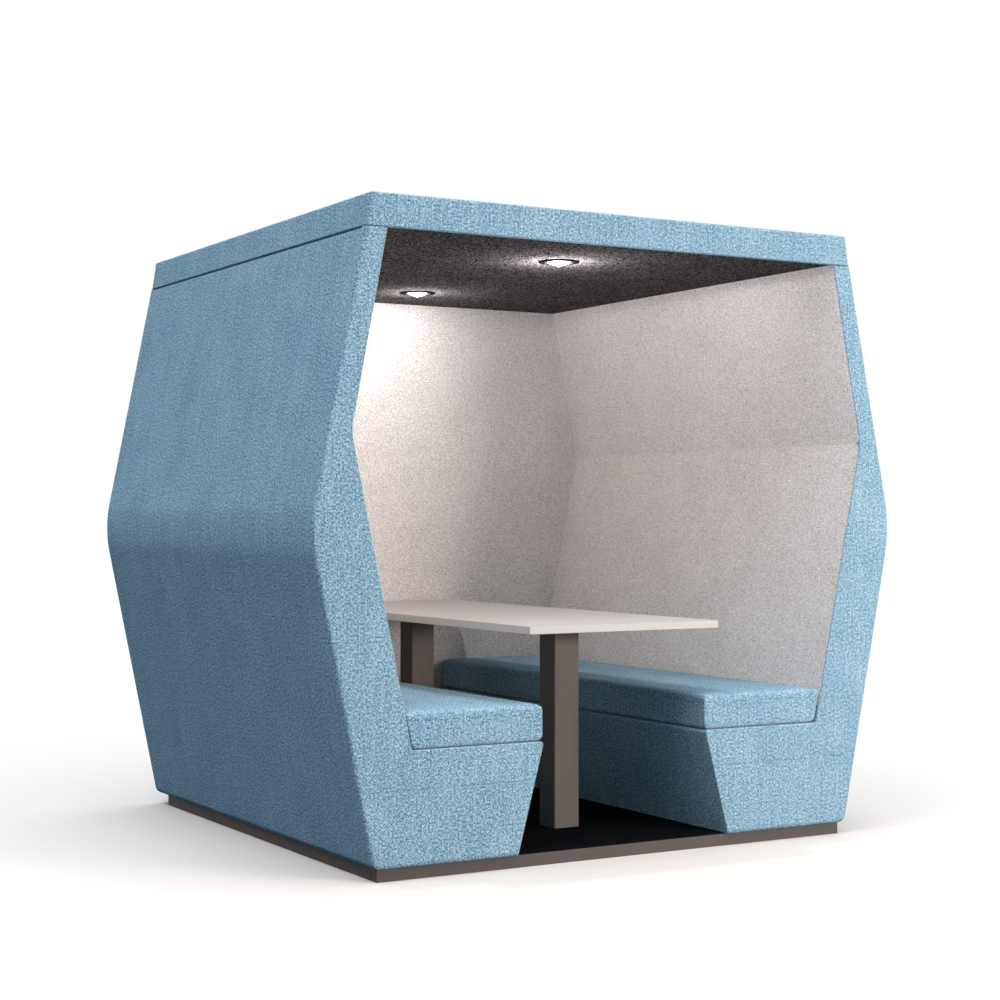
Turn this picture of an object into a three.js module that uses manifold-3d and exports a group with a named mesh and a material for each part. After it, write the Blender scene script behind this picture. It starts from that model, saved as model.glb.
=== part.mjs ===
// Open-fronted acoustic meeting pod: two knuckled side shells with benches, a back wall, a roof with
// two downlights, a plinth and a table. Millimetres, +Z up, the open front faces -Y, and the origin is
// on the floor under the middle of the pod.
import * as THREE from 'three';
import { mergeVertices } from 'three/addons/utils/BufferGeometryUtils.js';
import Module from 'manifold-3d';

const wasm = await Module();
wasm.setup();

// Overall sizes
const POD_HEIGHT = 2100;
const POD_DEPTH = 1896;
const FIT = 0.3; // gap between pieces that are fastened or laid together

// Outer side wall: half widths where it starts, bends and ends
const FOOT_HALF_WIDTH = 924;
const KNUCKLE_HALF_WIDTH = 1135;
const KNUCKLE_HEIGHT = 1069;
const EAVES_HALF_WIDTH = 948;
const KNUCKLE_RADIUS = 420;
const COVER_THICKNESS = 25;
const FOOT_EDGE_RADIUS = 20;

// Inner side wall: how far it stands inside the outer one, measured level
const EAVES_WALL = 78;
const INNER_KNUCKLE_WALL = 83;
const SEAT_WALL = 210;
const INNER_KNUCKLE_HEIGHT = 1371;
const INNER_KNUCKLE_RADIUS = 140;
const LINING_THICKNESS = 15;

// Upholstered front ends
const FRONT_PAD_THICKNESS = 25;
const PAD_EDGE_RADIUS = 12;
const NOTCH_RADIUS = 14;
const FACE_CORNER_RADIUS = 4; // what an outline's corner keeps inside a rounded edge
const LINING_LIP = 3; // lining edge that runs forward over a front end's inner side

// Ribs and top rails inside the side shells
const RIB_THICKNESS = 18;
const RIB_WEB = 42; // timber left round a lightening hole
const RIB_HOLE_RADIUS = 30;
const TOP_RAIL_DROP = 46; // how far a top rail reaches below the roof

// Back wall
const BACK_COVER_DEPTH = 24;
const BACK_COVER_WALL = 12;
const BACK_LINING_THICKNESS = 8;
const BACK_LINING_LAP = 10; // how far it runs behind the side linings
const BACK_EDGE_RADIUS = 8;

// Roof
const ROOF_HEIGHT = 104;
const ROOF_TOP_HALF_WIDTH = 932;
const ROOF_WALL = 20;
const ROOF_EDGE_RADIUS = 14;
const ROOF_SHADOW_GAP = 7; // dark line between the side shells and the roof
const CEILING_THICKNESS = 12;
const ROOF_FRAME_HEIGHT = 60;
const ROOF_FRAME_BAR = 45;
const LEAD_NOTCH = 16;

// Benches
const SEAT_DECK_HEIGHT = 398;
const SEAT_DECK_THICKNESS = 18;
const BENCH_SHADOW_GAP = 6; // dark line between a bench and its cushion
const BENCH_TOP_HALF_GAP = 316;
const BENCH_FOOT_HALF_GAP = 411;
const BENCH_BOARD_RUN = 20; // bench face thickness, measured level
const BENCH_EDGE_RADIUS = 10;

// Seat cushions
const CUSHION_THICKNESS = 114; // at its edges
const CUSHION_CROWN = 6;
const CUSHION_OVERHANG = 5; // past the bench face
const CUSHION_WALL_GAP = 6;
const CUSHION_BACK_GAP = 4;
const CUSHION_EDGE_RADIUS = 14;
const CUSHION_DRAW_IN = 3; // how far the sides pull in between the corners
const CUSHION_RINGS = 22;
const CUSHION_SIDE_STEPS = 6;
const CUSHION_TOP_STEPS = 12;
const CUSHION_CORNER_STEPS = 3;
const CUSHION_END_STEPS = 3; // sections that round each end
const CUSHION_END_SHARE = 0.8; // share of the edge radius by which the ends draw in
const CUSHION_FACE_BAND = 0.9; // share of the way out at which a point belongs to a face

// Plinth and floor
const PLINTH_HEIGHT = 40;
const PLINTH_HALF_WIDTH = 902;
const PLINTH_FRONT_INSET = 18;
const PLINTH_BACK_INSET = 74;
const PLINTH_RAIL = 40;
const DECK_THICKNESS = 18;
const JOIST_HALF_SPACING = 300;
const JOIST_WIDTH = 45;
const JOIST_LIFT = 2;
const CARPET_THICKNESS = 4;
const CARPET_EDGE_GAP = 1;

// Levelling feet
const FOOT_PAD_RADIUS = 30;
const FOOT_PAD_HEIGHT = 7;
const FOOT_CHAMFER = 2;
const FOOT_STEM_RADIUS = 6;
const FOOT_STEM_TOP = 36;
const FOOT_HOLE_GAP = 0.5;
const FOOT_EDGE_GAP = 15; // pad edge to plinth rail

// Table
const TABLE_HEIGHT = 763;
const TABLE_WIDTH = 740;
const TABLE_THICKNESS = 26;
const TABLE_BACK_GAP = 6;
const TABLE_EDGE = 1.5;
const LEG_SIZE = 100;
const LEG_WALL = 4;
const LEG_INSET = 419; // middle of a leg to the nearer end of the pod
const LEG_CORNER_RADIUS = 5;
const LEG_BLOCK_HEIGHT = 40;

// Downlights, measured from the ceiling face at the middle of a lamp
const LAMP_INSET = 420; // middle of a lamp to the nearer end of the pod
const LAMP_HOLE_RADIUS = 64.5;
const TRIM_RADIUS = 74;
const TRIM_DROP = 9; // inner edge of the sloped ring below the ceiling
const TRIM_RIM = 2; // outer edge of the ring
const TRIM_NOSE = 4; // flat round the bore
const TRIM_LIP = 5;
const TRIM_BORE = 46;
const NECK_GAP = 1.5;
const NECK_WALL = 3;
const NECK_RISE = 6; // neck above the ceiling panel
const REFLECTOR_WALL = 2;
const REFLECTOR_TOP_RADIUS = 43;
const REFLECTOR_RIM_GAP = 0.6;
const LENS_RADIUS = 40;
const LENS_EDGE_DROP = 3; // edge, dome and middle button of the lens below the ceiling
const LENS_DOME_DROP = 9;
const LENS_BUTTON_DROP = 14;
const LENS_BUTTON_RADIUS = 10;
const FIN_RADIUS = 54;
const FIN_CORE_RADIUS = 38;
const FIN_COUNT = 3;
const FIN_PITCH = 12;
const FIN_THICKNESS = 4;
const LAMP_FLANGE = 3;
const LAMP_SIDES = 28;

// Spring clips of the downlights
const CLIP_LENGTH = 38;
const CLIP_WIDTH = 10;
const CLIP_STRIP = 1.2;
const CLIP_BARREL_RADIUS = 2;
const CLIP_LUG = 3;

// Driver and leads
const DRIVER_LENGTH = 150;
const DRIVER_WIDTH = 42;
const DRIVER_HEIGHT = 28;
const DRIVER_EDGE = 3;
const LEAD_RADIUS = 3.5;

// Counts of straight steps in round stretches
const ARC_STEPS = 5;
const SMALL_ARC_STEPS = 3;
const EDGE_SEGMENTS = 3;
const LENS_STEPS = 4;
const ROLL_STEPS = 10;
const STEM_SIDES = 16;
const LEAD_SIDES = 8;
const LEAD_STEPS = 4;
const WELD_DISTANCE = 1e-4;

// Heights and depths that follow from the sizes above
const roofUnderside = POD_HEIGHT - ROOF_HEIGHT;
const coverTop = roofUnderside - ROOF_SHADOW_GAP;
const ceilingTop = roofUnderside + CEILING_THICKNESS;
const roofFrameTop = ceilingTop + FIT + ROOF_FRAME_HEIGHT;
const railBottom = roofUnderside - TOP_RAIL_DROP;
const seatDeckBottom = SEAT_DECK_HEIGHT - SEAT_DECK_THICKNESS;
const benchTop = SEAT_DECK_HEIGHT - BENCH_SHADOW_GAP;
const shellBottom = PLINTH_HEIGHT + FIT;
const carpetBottom = PLINTH_HEIGHT + FIT;
const carpetTop = carpetBottom + CARPET_THICKNESS;
const tableBottom = TABLE_HEIGHT - TABLE_THICKNESS;
const front = -POD_DEPTH / 2;
const back = POD_DEPTH / 2;
const padBack = front + FRONT_PAD_THICKNESS;
const coverBack = back - BACK_COVER_DEPTH;
const liningFace = coverBack - BACK_LINING_THICKNESS;
const plinthFront = front + PLINTH_FRONT_INSET;
const plinthBack = back - PLINTH_BACK_INSET;
const lampY = back - LAMP_INSET;
const legY = back - LEG_INSET;

// A corner of an outline; a radius rounds it
const corner = (x, z, radius = 0) => ({ x, z, radius });

// Points of a closed outline whose corners are rounded by arcs
function outline(corners, stepsPerArc = ARC_STEPS) {
  const points = [];
  corners.forEach((here, i) => {
    const before = corners[(i + corners.length - 1) % corners.length];
    const after = corners[(i + 1) % corners.length];
    const at = new THREE.Vector2(here.x, here.z);
    if (here.radius === 0) {
      points.push(at);
      return;
    }
    const inward = new THREE.Vector2(before.x, before.z).sub(at).normalize();
    const onward = new THREE.Vector2(after.x, after.z).sub(at).normalize();
    const half = Math.acos(THREE.MathUtils.clamp(inward.dot(onward), -1, 1)) / 2;
    const reach = here.radius / Math.tan(half);
    const centre = inward.clone().add(onward).normalize();
    centre.multiplyScalar(here.radius / Math.sin(half)).add(at);
    const start = at.clone().addScaledVector(inward, reach).sub(centre);
    const end = at.clone().addScaledVector(onward, reach).sub(centre);
    const turn = Math.atan2(start.x * end.y - start.y * end.x, start.dot(end));
    for (let step = 0; step <= stepsPerArc; step += 1) {
      const spoke = start.clone().rotateAround(new THREE.Vector2(), (turn * step) / stepsPerArc);
      points.push(spoke.add(centre));
    }
  });
  return points;
}

// A wall that leans out from its foot to a knuckle and back in to its top. Offsets are square to the
// wall, positive outwards.
function bentWall(foot, knuckle, top, radius) {
  const low = new THREE.Vector2(knuckle.x - foot.x, knuckle.z - foot.z).normalize();
  const high = new THREE.Vector2(top.x - knuckle.x, top.z - knuckle.z).normalize();
  const lowOut = new THREE.Vector2(low.y, -low.x);
  const highOut = new THREE.Vector2(high.y, -high.x);
  const mitre = lowOut.clone().add(highOut).divideScalar(1 + lowOut.dot(highOut));
  const bend = (offset = 0) =>
    corner(knuckle.x + mitre.x * offset, knuckle.z + mitre.y * offset, radius + offset);
  const at = (z, offset = 0) => {
    const turn = bend(offset);
    const run = z < turn.z ? low : high;
    return turn.x + ((z - turn.z) * run.x) / run.y;
  };
  return { bend, at };
}

const outerWall = bentWall(
  { x: FOOT_HALF_WIDTH, z: PLINTH_HEIGHT },
  { x: KNUCKLE_HALF_WIDTH, z: KNUCKLE_HEIGHT },
  { x: EAVES_HALF_WIDTH, z: roofUnderside },
  KNUCKLE_RADIUS,
);
const innerWall = bentWall(
  { x: outerWall.at(SEAT_DECK_HEIGHT) - SEAT_WALL, z: SEAT_DECK_HEIGHT },
  { x: outerWall.at(INNER_KNUCKLE_HEIGHT) - INNER_KNUCKLE_WALL, z: INNER_KNUCKLE_HEIGHT },
  { x: EAVES_HALF_WIDTH - EAVES_WALL, z: roofUnderside },
  INNER_KNUCKLE_RADIUS,
);

// Level distance from the middle to the bench face at a height
function benchFaceAt(z) {
  const slope = (BENCH_FOOT_HALF_GAP - BENCH_TOP_HALF_GAP) / (benchTop - PLINTH_HEIGHT);
  return BENCH_TOP_HALF_GAP + (benchTop - z) * slope;
}

// Level distance from the middle to the outside of the roof at a height
function roofSideAt(z) {
  const slope = (EAVES_HALF_WIDTH - ROOF_TOP_HALF_WIDTH) / ROOF_HEIGHT;
  return EAVES_HALF_WIDTH - (z - roofUnderside) * slope;
}

const mirrored = (points, side) => points.map((point) => new THREE.Vector2(point.x * side, point.y));

function shapeOf(points, holes = []) {
  const clockwise = THREE.ShapeUtils.isClockWise(points);
  const shape = new THREE.Shape(clockwise ? [...points].reverse() : points);
  holes.forEach((hole) => shape.holes.push(new THREE.Path(hole)));
  return shape;
}

// An outline in X and Z, carried along Y
function prism(points, yFrom, yTo, holes = []) {
  const options = { depth: yTo - yFrom, bevelEnabled: false };
  const geometry = new THREE.ExtrudeGeometry(shapeOf(points, holes), options);
  return geometry.rotateX(Math.PI / 2).translate(0, yTo, 0);
}

// Extrusion whose ends are drawn in by a rounded edge
function softExtrusion(points, depth, radius, segments) {
  return new THREE.ExtrudeGeometry(shapeOf(points), {
    depth: depth - 2 * radius,
    bevelEnabled: true,
    bevelThickness: radius,
    bevelSize: radius,
    bevelOffset: -radius,
    bevelSegments: segments,
  });
}

// A prism with rounded edges round both ends
function softPrism(points, yFrom, yTo, radius) {
  const geometry = softExtrusion(points, yTo - yFrom, radius, EDGE_SEGMENTS);
  return geometry.rotateX(Math.PI / 2).translate(0, yTo - radius, 0);
}

// An outline in X and Y, carried up Z
function slab(points, zFrom, zTo, holes = []) {
  const options = { depth: zTo - zFrom, bevelEnabled: false };
  return new THREE.ExtrudeGeometry(shapeOf(points, holes), options).translate(0, 0, zFrom);
}

function rectangle(xFrom, xTo, yFrom, yTo) {
  const corners = [[xFrom, yFrom], [xTo, yFrom], [xTo, yTo], [xFrom, yTo]];
  return corners.map(([x, y]) => new THREE.Vector2(x, y));
}

function circle(x, y, radius, sides) {
  return Array.from({ length: sides }, (_, i) => {
    const turn = (2 * Math.PI * i) / sides;
    return new THREE.Vector2(x + radius * Math.cos(turn), y + radius * Math.sin(turn));
  });
}

function box(xFrom, xTo, yFrom, yTo, zFrom, zTo) {
  const geometry = new THREE.BoxGeometry(xTo - xFrom, yTo - yFrom, zTo - zFrom);
  return geometry.translate((xFrom + xTo) / 2, (yFrom + yTo) / 2, (zFrom + zTo) / 2);
}

// A profile of radius and height pairs, turned round Z
function turned(profile, sides = LAMP_SIDES) {
  const points = profile.map(([radius, z]) => new THREE.Vector2(radius, z));
  return new THREE.LatheGeometry(points, sides).rotateX(Math.PI / 2);
}

function solidOf(geometry) {
  const bare = geometry.clone();
  bare.deleteAttribute('normal');
  bare.deleteAttribute('uv');
  const merged = mergeVertices(bare, WELD_DISTANCE);
  return new wasm.Manifold(new wasm.Mesh({
    numProp: 3,
    vertProperties: new Float32Array(merged.attributes.position.array),
    triVerts: new Uint32Array(merged.index.array),
  }));
}

function geometryOf(solid) {
  const mesh = solid.getMesh();
  const geometry = new THREE.BufferGeometry();
  geometry.setAttribute('position', new THREE.BufferAttribute(new Float32Array(mesh.vertProperties), 3));
  geometry.setIndex(new THREE.BufferAttribute(new Uint32Array(mesh.triVerts), 1));
  geometry.computeVertexNormals();
  return geometry;
}

function cut(geometry, ...cutters) {
  const solid = cutters.reduce((rest, cutter) => rest.subtract(solidOf(cutter)), solidOf(geometry));
  return geometryOf(solid);
}

function join(...geometries) {
  return geometryOf(geometries.map(solidOf).reduce((sum, solid) => sum.add(solid)));
}

// Finishes, each a colour, roughness and metalness
const FINISH = {
  blueFabric: [0x6f9cb8, 0.95, 0],
  greyLining: [0xb2a9a6, 0.95, 0],
  darkLining: [0x4e4643, 0.95, 0],
  carpet: [0x0d0f10, 1, 0],
  plywood: [0xc9a877, 0.75, 0],
  softwood: [0xd2b48c, 0.8, 0],
  plinthPaint: [0x6b625f, 0.6, 0],
  tableBoard: [0xcbc3c0, 0.5, 0],
  legPaint: [0x6b625f, 0.45, 0.6],
  trim: [0x2c2a29, 0.35, 0.8],
  reflector: [0xc8c8c8, 0.2, 0.9],
  lens: [0xfafafa, 0.3, 0],
  lampBody: [0xa9adb1, 0.4, 0.9],
  springSteel: [0xb8bcc0, 0.3, 1],
  driverCase: [0xe6e4e0, 0.5, 0],
  leadSheath: [0x1b1b1c, 0.6, 0],
  footPlastic: [0x202122, 0.7, 0],
};

const pod = new THREE.Group();

function add(name, geometry, finish, parent = pod) {
  const [color, roughness, metalness] = FINISH[finish];
  const mesh = new THREE.Mesh(geometry, new THREE.MeshStandardMaterial({ color, roughness, metalness }));
  mesh.name = name;
  parent.add(mesh);
}

const SIDES = [['left', -1], ['right', 1]];

// Bent outer panel of a side shell, its lower edge rounded
function outerCover(side) {
  const points = outline([
    corner(outerWall.at(shellBottom), shellBottom, FOOT_EDGE_RADIUS),
    outerWall.bend(),
    corner(outerWall.at(coverTop), coverTop),
    corner(outerWall.at(coverTop, -COVER_THICKNESS), coverTop),
    outerWall.bend(-COVER_THICKNESS),
    corner(outerWall.at(shellBottom, -COVER_THICKNESS), shellBottom),
  ]);
  return prism(mirrored(points, side), padBack + FIT, coverBack - FIT);
}

// L-shaped end of a side shell: wall and bench front in one, rounded towards the front only
function frontPad(side) {
  const lip = LINING_LIP + FIT;
  const points = outline([
    corner(outerWall.at(shellBottom), shellBottom, FOOT_EDGE_RADIUS),
    outerWall.bend(),
    corner(outerWall.at(coverTop), coverTop),
    corner(innerWall.at(coverTop, lip), coverTop),
    innerWall.bend(lip),
    corner(innerWall.at(benchTop, lip), benchTop, NOTCH_RADIUS),
    corner(benchFaceAt(benchTop), benchTop, PAD_EDGE_RADIUS + FACE_CORNER_RADIUS),
    corner(benchFaceAt(shellBottom), shellBottom),
  ]);
  const spare = 2 * PAD_EDGE_RADIUS;
  const blank = softPrism(mirrored(points, side), front, padBack + spare, PAD_EDGE_RADIUS);
  const reach = KNUCKLE_HALF_WIDTH + spare;
  return cut(blank, box(-reach, reach, padBack, padBack + 2 * spare, 0, POD_HEIGHT));
}

// Plywood rib: the shell's section less its skins, with two lightening holes
function rib(side, yFrom) {
  const skin = COVER_THICKNESS + FIT;
  const lining = LINING_THICKNESS + FIT;
  const ribTop = railBottom - FIT;
  const deckSeat = seatDeckBottom - FIT;
  const deckEnd = innerWall.at(SEAT_DECK_HEIGHT, lining);
  const benchBack = BENCH_BOARD_RUN + FIT;
  const points = outline([
    corner(outerWall.at(shellBottom, -skin), shellBottom),
    outerWall.bend(-skin),
    corner(outerWall.at(ribTop, -skin), ribTop),
    corner(innerWall.at(ribTop, lining), ribTop),
    innerWall.bend(lining),
    corner(innerWall.at(SEAT_DECK_HEIGHT, lining), SEAT_DECK_HEIGHT),
    corner(deckEnd, deckSeat),
    corner(benchFaceAt(deckSeat) + benchBack, deckSeat),
    corner(benchFaceAt(shellBottom) + benchBack, shellBottom),
  ]);
  const wallHoleTop = outerWall.bend().z;
  const wallHole = outline([
    corner(innerWall.at(SEAT_DECK_HEIGHT, lining + RIB_WEB), SEAT_DECK_HEIGHT, RIB_HOLE_RADIUS),
    corner(outerWall.at(SEAT_DECK_HEIGHT, -skin - RIB_WEB), SEAT_DECK_HEIGHT, RIB_HOLE_RADIUS),
    corner(outerWall.at(wallHoleTop, -skin - RIB_WEB), wallHoleTop, RIB_HOLE_RADIUS),
    corner(innerWall.at(wallHoleTop, lining + RIB_WEB), wallHoleTop, RIB_HOLE_RADIUS),
  ]);
  const holeTop = deckSeat - RIB_WEB;
  const holeBottom = shellBottom + RIB_WEB;
  const benchWeb = benchBack + RIB_WEB;
  const benchHole = outline([
    corner(benchFaceAt(holeTop) + benchWeb, holeTop, RIB_HOLE_RADIUS),
    corner(benchFaceAt(holeBottom) + benchWeb, holeBottom, RIB_HOLE_RADIUS),
    corner(outerWall.at(holeBottom, -skin - RIB_WEB), holeBottom, RIB_HOLE_RADIUS),
    corner(outerWall.at(holeTop, -skin - RIB_WEB), holeTop, RIB_HOLE_RADIUS),
  ]);
  const holes = [wallHole, benchHole].map((hole) => mirrored(hole, side));
  return prism(mirrored(points, side), yFrom, yFrom + RIB_THICKNESS, holes);
}

// Rail along the top of a side shell, which stands proud of the covers and carries the roof
function topRail(side) {
  const skin = COVER_THICKNESS + FIT;
  const inside = innerWall.at(railBottom, LINING_THICKNESS + FIT);
  const points = outline([
    corner(inside, railBottom),
    corner(outerWall.at(railBottom, -skin), railBottom),
    corner(outerWall.at(ceilingTop, -skin), ceilingTop),
    corner(inside, ceilingTop),
  ]);
  return prism(mirrored(points, side), padBack + FIT, liningFace - FIT);
}

// Bent lining panel, whose thin lip runs forward over the inner side of the front end
function innerLining(side) {
  const upper = roofUnderside - FIT;
  const skin = (lower, thickness) => mirrored(outline([
    corner(innerWall.at(lower), lower),
    corner(innerWall.at(lower, thickness), lower),
    innerWall.bend(thickness),
    corner(innerWall.at(upper, thickness), upper),
    corner(innerWall.at(upper), upper),
    innerWall.bend(),
  ]), side);
  const panelFront = padBack + FIT;
  const panel = prism(skin(SEAT_DECK_HEIGHT + FIT, LINING_THICKNESS), panelFront, liningFace - FIT);
  const lipBottom = SEAT_DECK_HEIGHT + CUSHION_THICKNESS / 2;
  const lip = prism(skin(lipBottom, LINING_LIP), front + PAD_EDGE_RADIUS, panelFront + LINING_LIP);
  return join(panel, lip);
}

function seatDeck(side) {
  const inside = benchFaceAt(seatDeckBottom) + BENCH_BOARD_RUN + FIT;
  const outside = innerWall.at(SEAT_DECK_HEIGHT, LINING_THICKNESS);
  const [xFrom, xTo] = side > 0 ? [inside, outside] : [-outside, -inside];
  return box(xFrom, xTo, padBack + FIT, liningFace - FIT, seatDeckBottom, SEAT_DECK_HEIGHT);
}

// Sloped upholstered face of a bench
function benchFront(side) {
  const points = outline([
    corner(benchFaceAt(shellBottom), shellBottom),
    corner(benchFaceAt(shellBottom) + BENCH_BOARD_RUN, shellBottom),
    corner(benchFaceAt(benchTop) + BENCH_BOARD_RUN, benchTop),
    corner(benchFaceAt(benchTop), benchTop, BENCH_EDGE_RADIUS),
  ]);
  return prism(mirrored(points, side), padBack + FIT, liningFace - FIT);
}

// One section of a cushion, drawn in by an inset: flat below, rounded at its edges, crowned on top and
// with its sides pulled in between the edges. Each section has the same count of points.
function cushionSection(inset, crown) {
  const floor = SEAT_DECK_HEIGHT + FIT;
  const bottom = floor + inset;
  const top = floor + CUSHION_THICKNESS - inset;
  const radius = CUSHION_EDGE_RADIUS;
  const middle = (floor + floor + CUSHION_THICKNESS) / 2;
  const wallAt = (z) => innerWall.at(z) - CUSHION_WALL_GAP - inset;
  const faceX = BENCH_TOP_HALF_GAP - CUSHION_OVERHANG + inset;
  const corners = [
    corner(faceX, bottom, radius),
    corner(wallAt(bottom), bottom, radius),
    corner(wallAt(top), top, radius),
    corner(faceX, top, radius),
  ];
  const rounded = outline(corners, CUSHION_CORNER_STEPS);
  const arc = CUSHION_CORNER_STEPS + 1;
  const steps = [CUSHION_TOP_STEPS, CUSHION_SIDE_STEPS, CUSHION_TOP_STEPS, CUSHION_SIDE_STEPS];
  const section = [];
  for (let edge = 0; edge < corners.length; edge += 1) {
    section.push(...rounded.slice(edge * arc, (edge + 1) * arc));
    const from = rounded[(edge + 1) * arc - 1];
    const to = rounded[((edge + 1) * arc) % rounded.length];
    for (let step = 1; step < steps[edge]; step += 1) {
      section.push(from.clone().lerp(to, step / steps[edge]));
    }
  }
  const width = wallAt(middle) - faceX;
  return section.map((point) => {
    const across = THREE.MathUtils.clamp((point.x - faceX) / width, 0, 1);
    const up = (point.y - middle) / (top - middle);
    const swell = crown * Math.sin(Math.PI * across);
    const pull = CUSHION_DRAW_IN * Math.max(0, 1 - up * up) * (across < 0.5 ? 1 : -1);
    const side = Math.abs(across - 0.5) * 2;
    return new THREE.Vector2(
      point.x + (side > CUSHION_FACE_BAND ? pull : 0),
      point.y + (up > CUSHION_FACE_BAND ? swell : 0),
    );
  });
}

// A cushion lofted through its sections from front to back
function seatCushion(side) {
  const yFrom = front;
  const yTo = liningFace - CUSHION_BACK_GAP;
  const positions = [];
  const indices = [];
  let count = 0;
  for (let ring = 0; ring < CUSHION_RINGS; ring += 1) {
    const last = CUSHION_RINGS - 1;
    const fromEnd = Math.min(ring, last - ring);
    const turn = Math.min(1, fromEnd / CUSHION_END_STEPS) * (Math.PI / 2);
    const inset = CUSHION_EDGE_RADIUS * (1 - Math.sin(turn)) * CUSHION_END_SHARE;
    const nearEnd = CUSHION_EDGE_RADIUS * (1 - Math.cos(turn));
    const straight = (fromEnd - CUSHION_END_STEPS) / (last / 2 - CUSHION_END_STEPS);
    const half = (yTo - yFrom) / 2;
    const along = fromEnd <= CUSHION_END_STEPS ? nearEnd : nearEnd + straight * (half - nearEnd);
    const y = ring <= last / 2 ? yFrom + along : yTo - along;
    const crown = CUSHION_CROWN * Math.sqrt(Math.sin((Math.PI * along) / (2 * half)));
    const section = cushionSection(inset, crown);
    count = section.length;
    section.forEach((point) => positions.push(point.x * side, y, point.y));
  }
  const face = (a, b, c) => (side > 0 ? indices.push(a, b, c) : indices.push(a, c, b));
  for (let ring = 0; ring + 1 < CUSHION_RINGS; ring += 1) {
    for (let i = 0; i < count; i += 1) {
      const next = (i + 1) % count;
      const here = ring * count;
      const there = here + count;
      face(here + i, there + i, there + next);
      face(here + i, there + next, here + next);
    }
  }
  const endSection = cushionSection(CUSHION_EDGE_RADIUS * CUSHION_END_SHARE, 0);
  const lastRing = (CUSHION_RINGS - 1) * count;
  THREE.ShapeUtils.triangulateShape(endSection, []).forEach(([a, b, c]) => {
    face(a, b, c);
    face(lastRing + a, lastRing + c, lastRing + b);
  });
  const geometry = new THREE.BufferGeometry();
  geometry.setAttribute('position', new THREE.Float32BufferAttribute(positions, 3));
  geometry.setIndex(indices);
  geometry.computeVertexNormals();
  return geometry;
}

for (const [name, side] of SIDES) {
  add(`${name}_outer_cover`, outerCover(side), 'blueFabric');
  add(`${name}_front_pad`, frontPad(side), 'blueFabric');
  add(`${name}_rib_front`, rib(side, padBack + FIT), 'plywood');
  add(`${name}_rib_middle`, rib(side, -RIB_THICKNESS / 2), 'plywood');
  add(`${name}_rib_rear`, rib(side, plinthBack - (PLINTH_RAIL + RIB_THICKNESS) / 2), 'plywood');
  add(`${name}_top_rail`, topRail(side), 'softwood');
  add(`${name}_inner_lining`, innerLining(side), 'greyLining');
  add(`${name}_seat_deck`, seatDeck(side), 'plywood');
  add(`${name}_bench_front`, benchFront(side), 'blueFabric');
  add(`${name}_seat_cushion`, seatCushion(side), 'blueFabric');
}

// Outline of the whole pod's section below the roof, drawn in by an inset
function shellOutline(inset, topZ, radius) {
  const lower = shellBottom + inset;
  const half = [
    corner(outerWall.at(lower, -inset), lower, radius),
    outerWall.bend(-inset),
    corner(outerWall.at(topZ, -inset), topZ),
  ];
  const other = half.map(({ x, z, radius: r }) => corner(-x, z, r)).reverse();
  return outline([...half, ...other]);
}

// Back wall: an upholstered tray over a board, lined inside
function backCover() {
  const topZ = roofUnderside - FIT;
  const spare = 2 * BACK_EDGE_RADIUS;
  const whole = shellOutline(0, topZ, FOOT_EDGE_RADIUS);
  const blank = softPrism(whole, coverBack - spare, back, BACK_EDGE_RADIUS);
  const reach = KNUCKLE_HALF_WIDTH + spare;
  const ahead = box(-reach, reach, coverBack - 2 * spare, coverBack, 0, POD_HEIGHT);
  const recess = shellOutline(BACK_COVER_WALL, topZ - BACK_COVER_WALL, 0);
  return cut(blank, ahead, prism(recess, coverBack - spare, back - BACK_COVER_WALL));
}

function backBoard() {
  const inset = BACK_COVER_WALL + FIT;
  const points = shellOutline(inset, roofUnderside - FIT - inset, 0);
  return prism(points, coverBack + FIT, back - BACK_COVER_WALL - FIT);
}

function backLining() {
  const lower = carpetTop + FIT;
  const upper = roofUnderside - FIT;
  const half = [
    corner(benchFaceAt(lower) + BENCH_BOARD_RUN, lower),
    corner(benchFaceAt(benchTop) + BENCH_BOARD_RUN, benchTop),
    corner(innerWall.at(SEAT_DECK_HEIGHT, BACK_LINING_LAP), SEAT_DECK_HEIGHT),
    innerWall.bend(BACK_LINING_LAP),
    corner(innerWall.at(upper, BACK_LINING_LAP), upper),
  ];
  const other = half.map(({ x, z, radius }) => corner(-x, z, radius)).reverse();
  return prism(outline([...half, ...other]), liningFace, coverBack - FIT);
}

add('back_cover', backCover(), 'blueFabric');
add('back_board', backBoard(), 'plywood');
add('back_lining', backLining(), 'greyLining');

// Roof: an upholstered tray over a ladder frame, with the ceiling panel under it
const roofCavityTop = roofFrameTop + FIT;

function roofCover() {
  const spare = 2 * ROOF_EDGE_RADIUS;
  const lower = roofUnderside - spare;
  const cornerRadius = ROOF_EDGE_RADIUS + FACE_CORNER_RADIUS;
  const section = outline([
    corner(roofSideAt(lower), lower),
    corner(roofSideAt(POD_HEIGHT), POD_HEIGHT, cornerRadius),
    corner(-roofSideAt(POD_HEIGHT), POD_HEIGHT, cornerRadius),
    corner(-roofSideAt(lower), lower),
  ]);
  const blank = softPrism(section, front, back, ROOF_EDGE_RADIUS);
  const reach = roofSideAt(lower) + spare;
  const below = box(-reach, reach, front - spare, back + spare, lower - spare, roofUnderside);
  const cavity = outline([
    corner(roofSideAt(lower) - ROOF_WALL, lower),
    corner(roofSideAt(roofCavityTop) - ROOF_WALL, roofCavityTop),
    corner(ROOF_WALL - roofSideAt(roofCavityTop), roofCavityTop),
    corner(ROOF_WALL - roofSideAt(lower), lower),
  ]);
  return cut(blank, below, prism(cavity, front + ROOF_WALL, back - ROOF_WALL));
}

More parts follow.
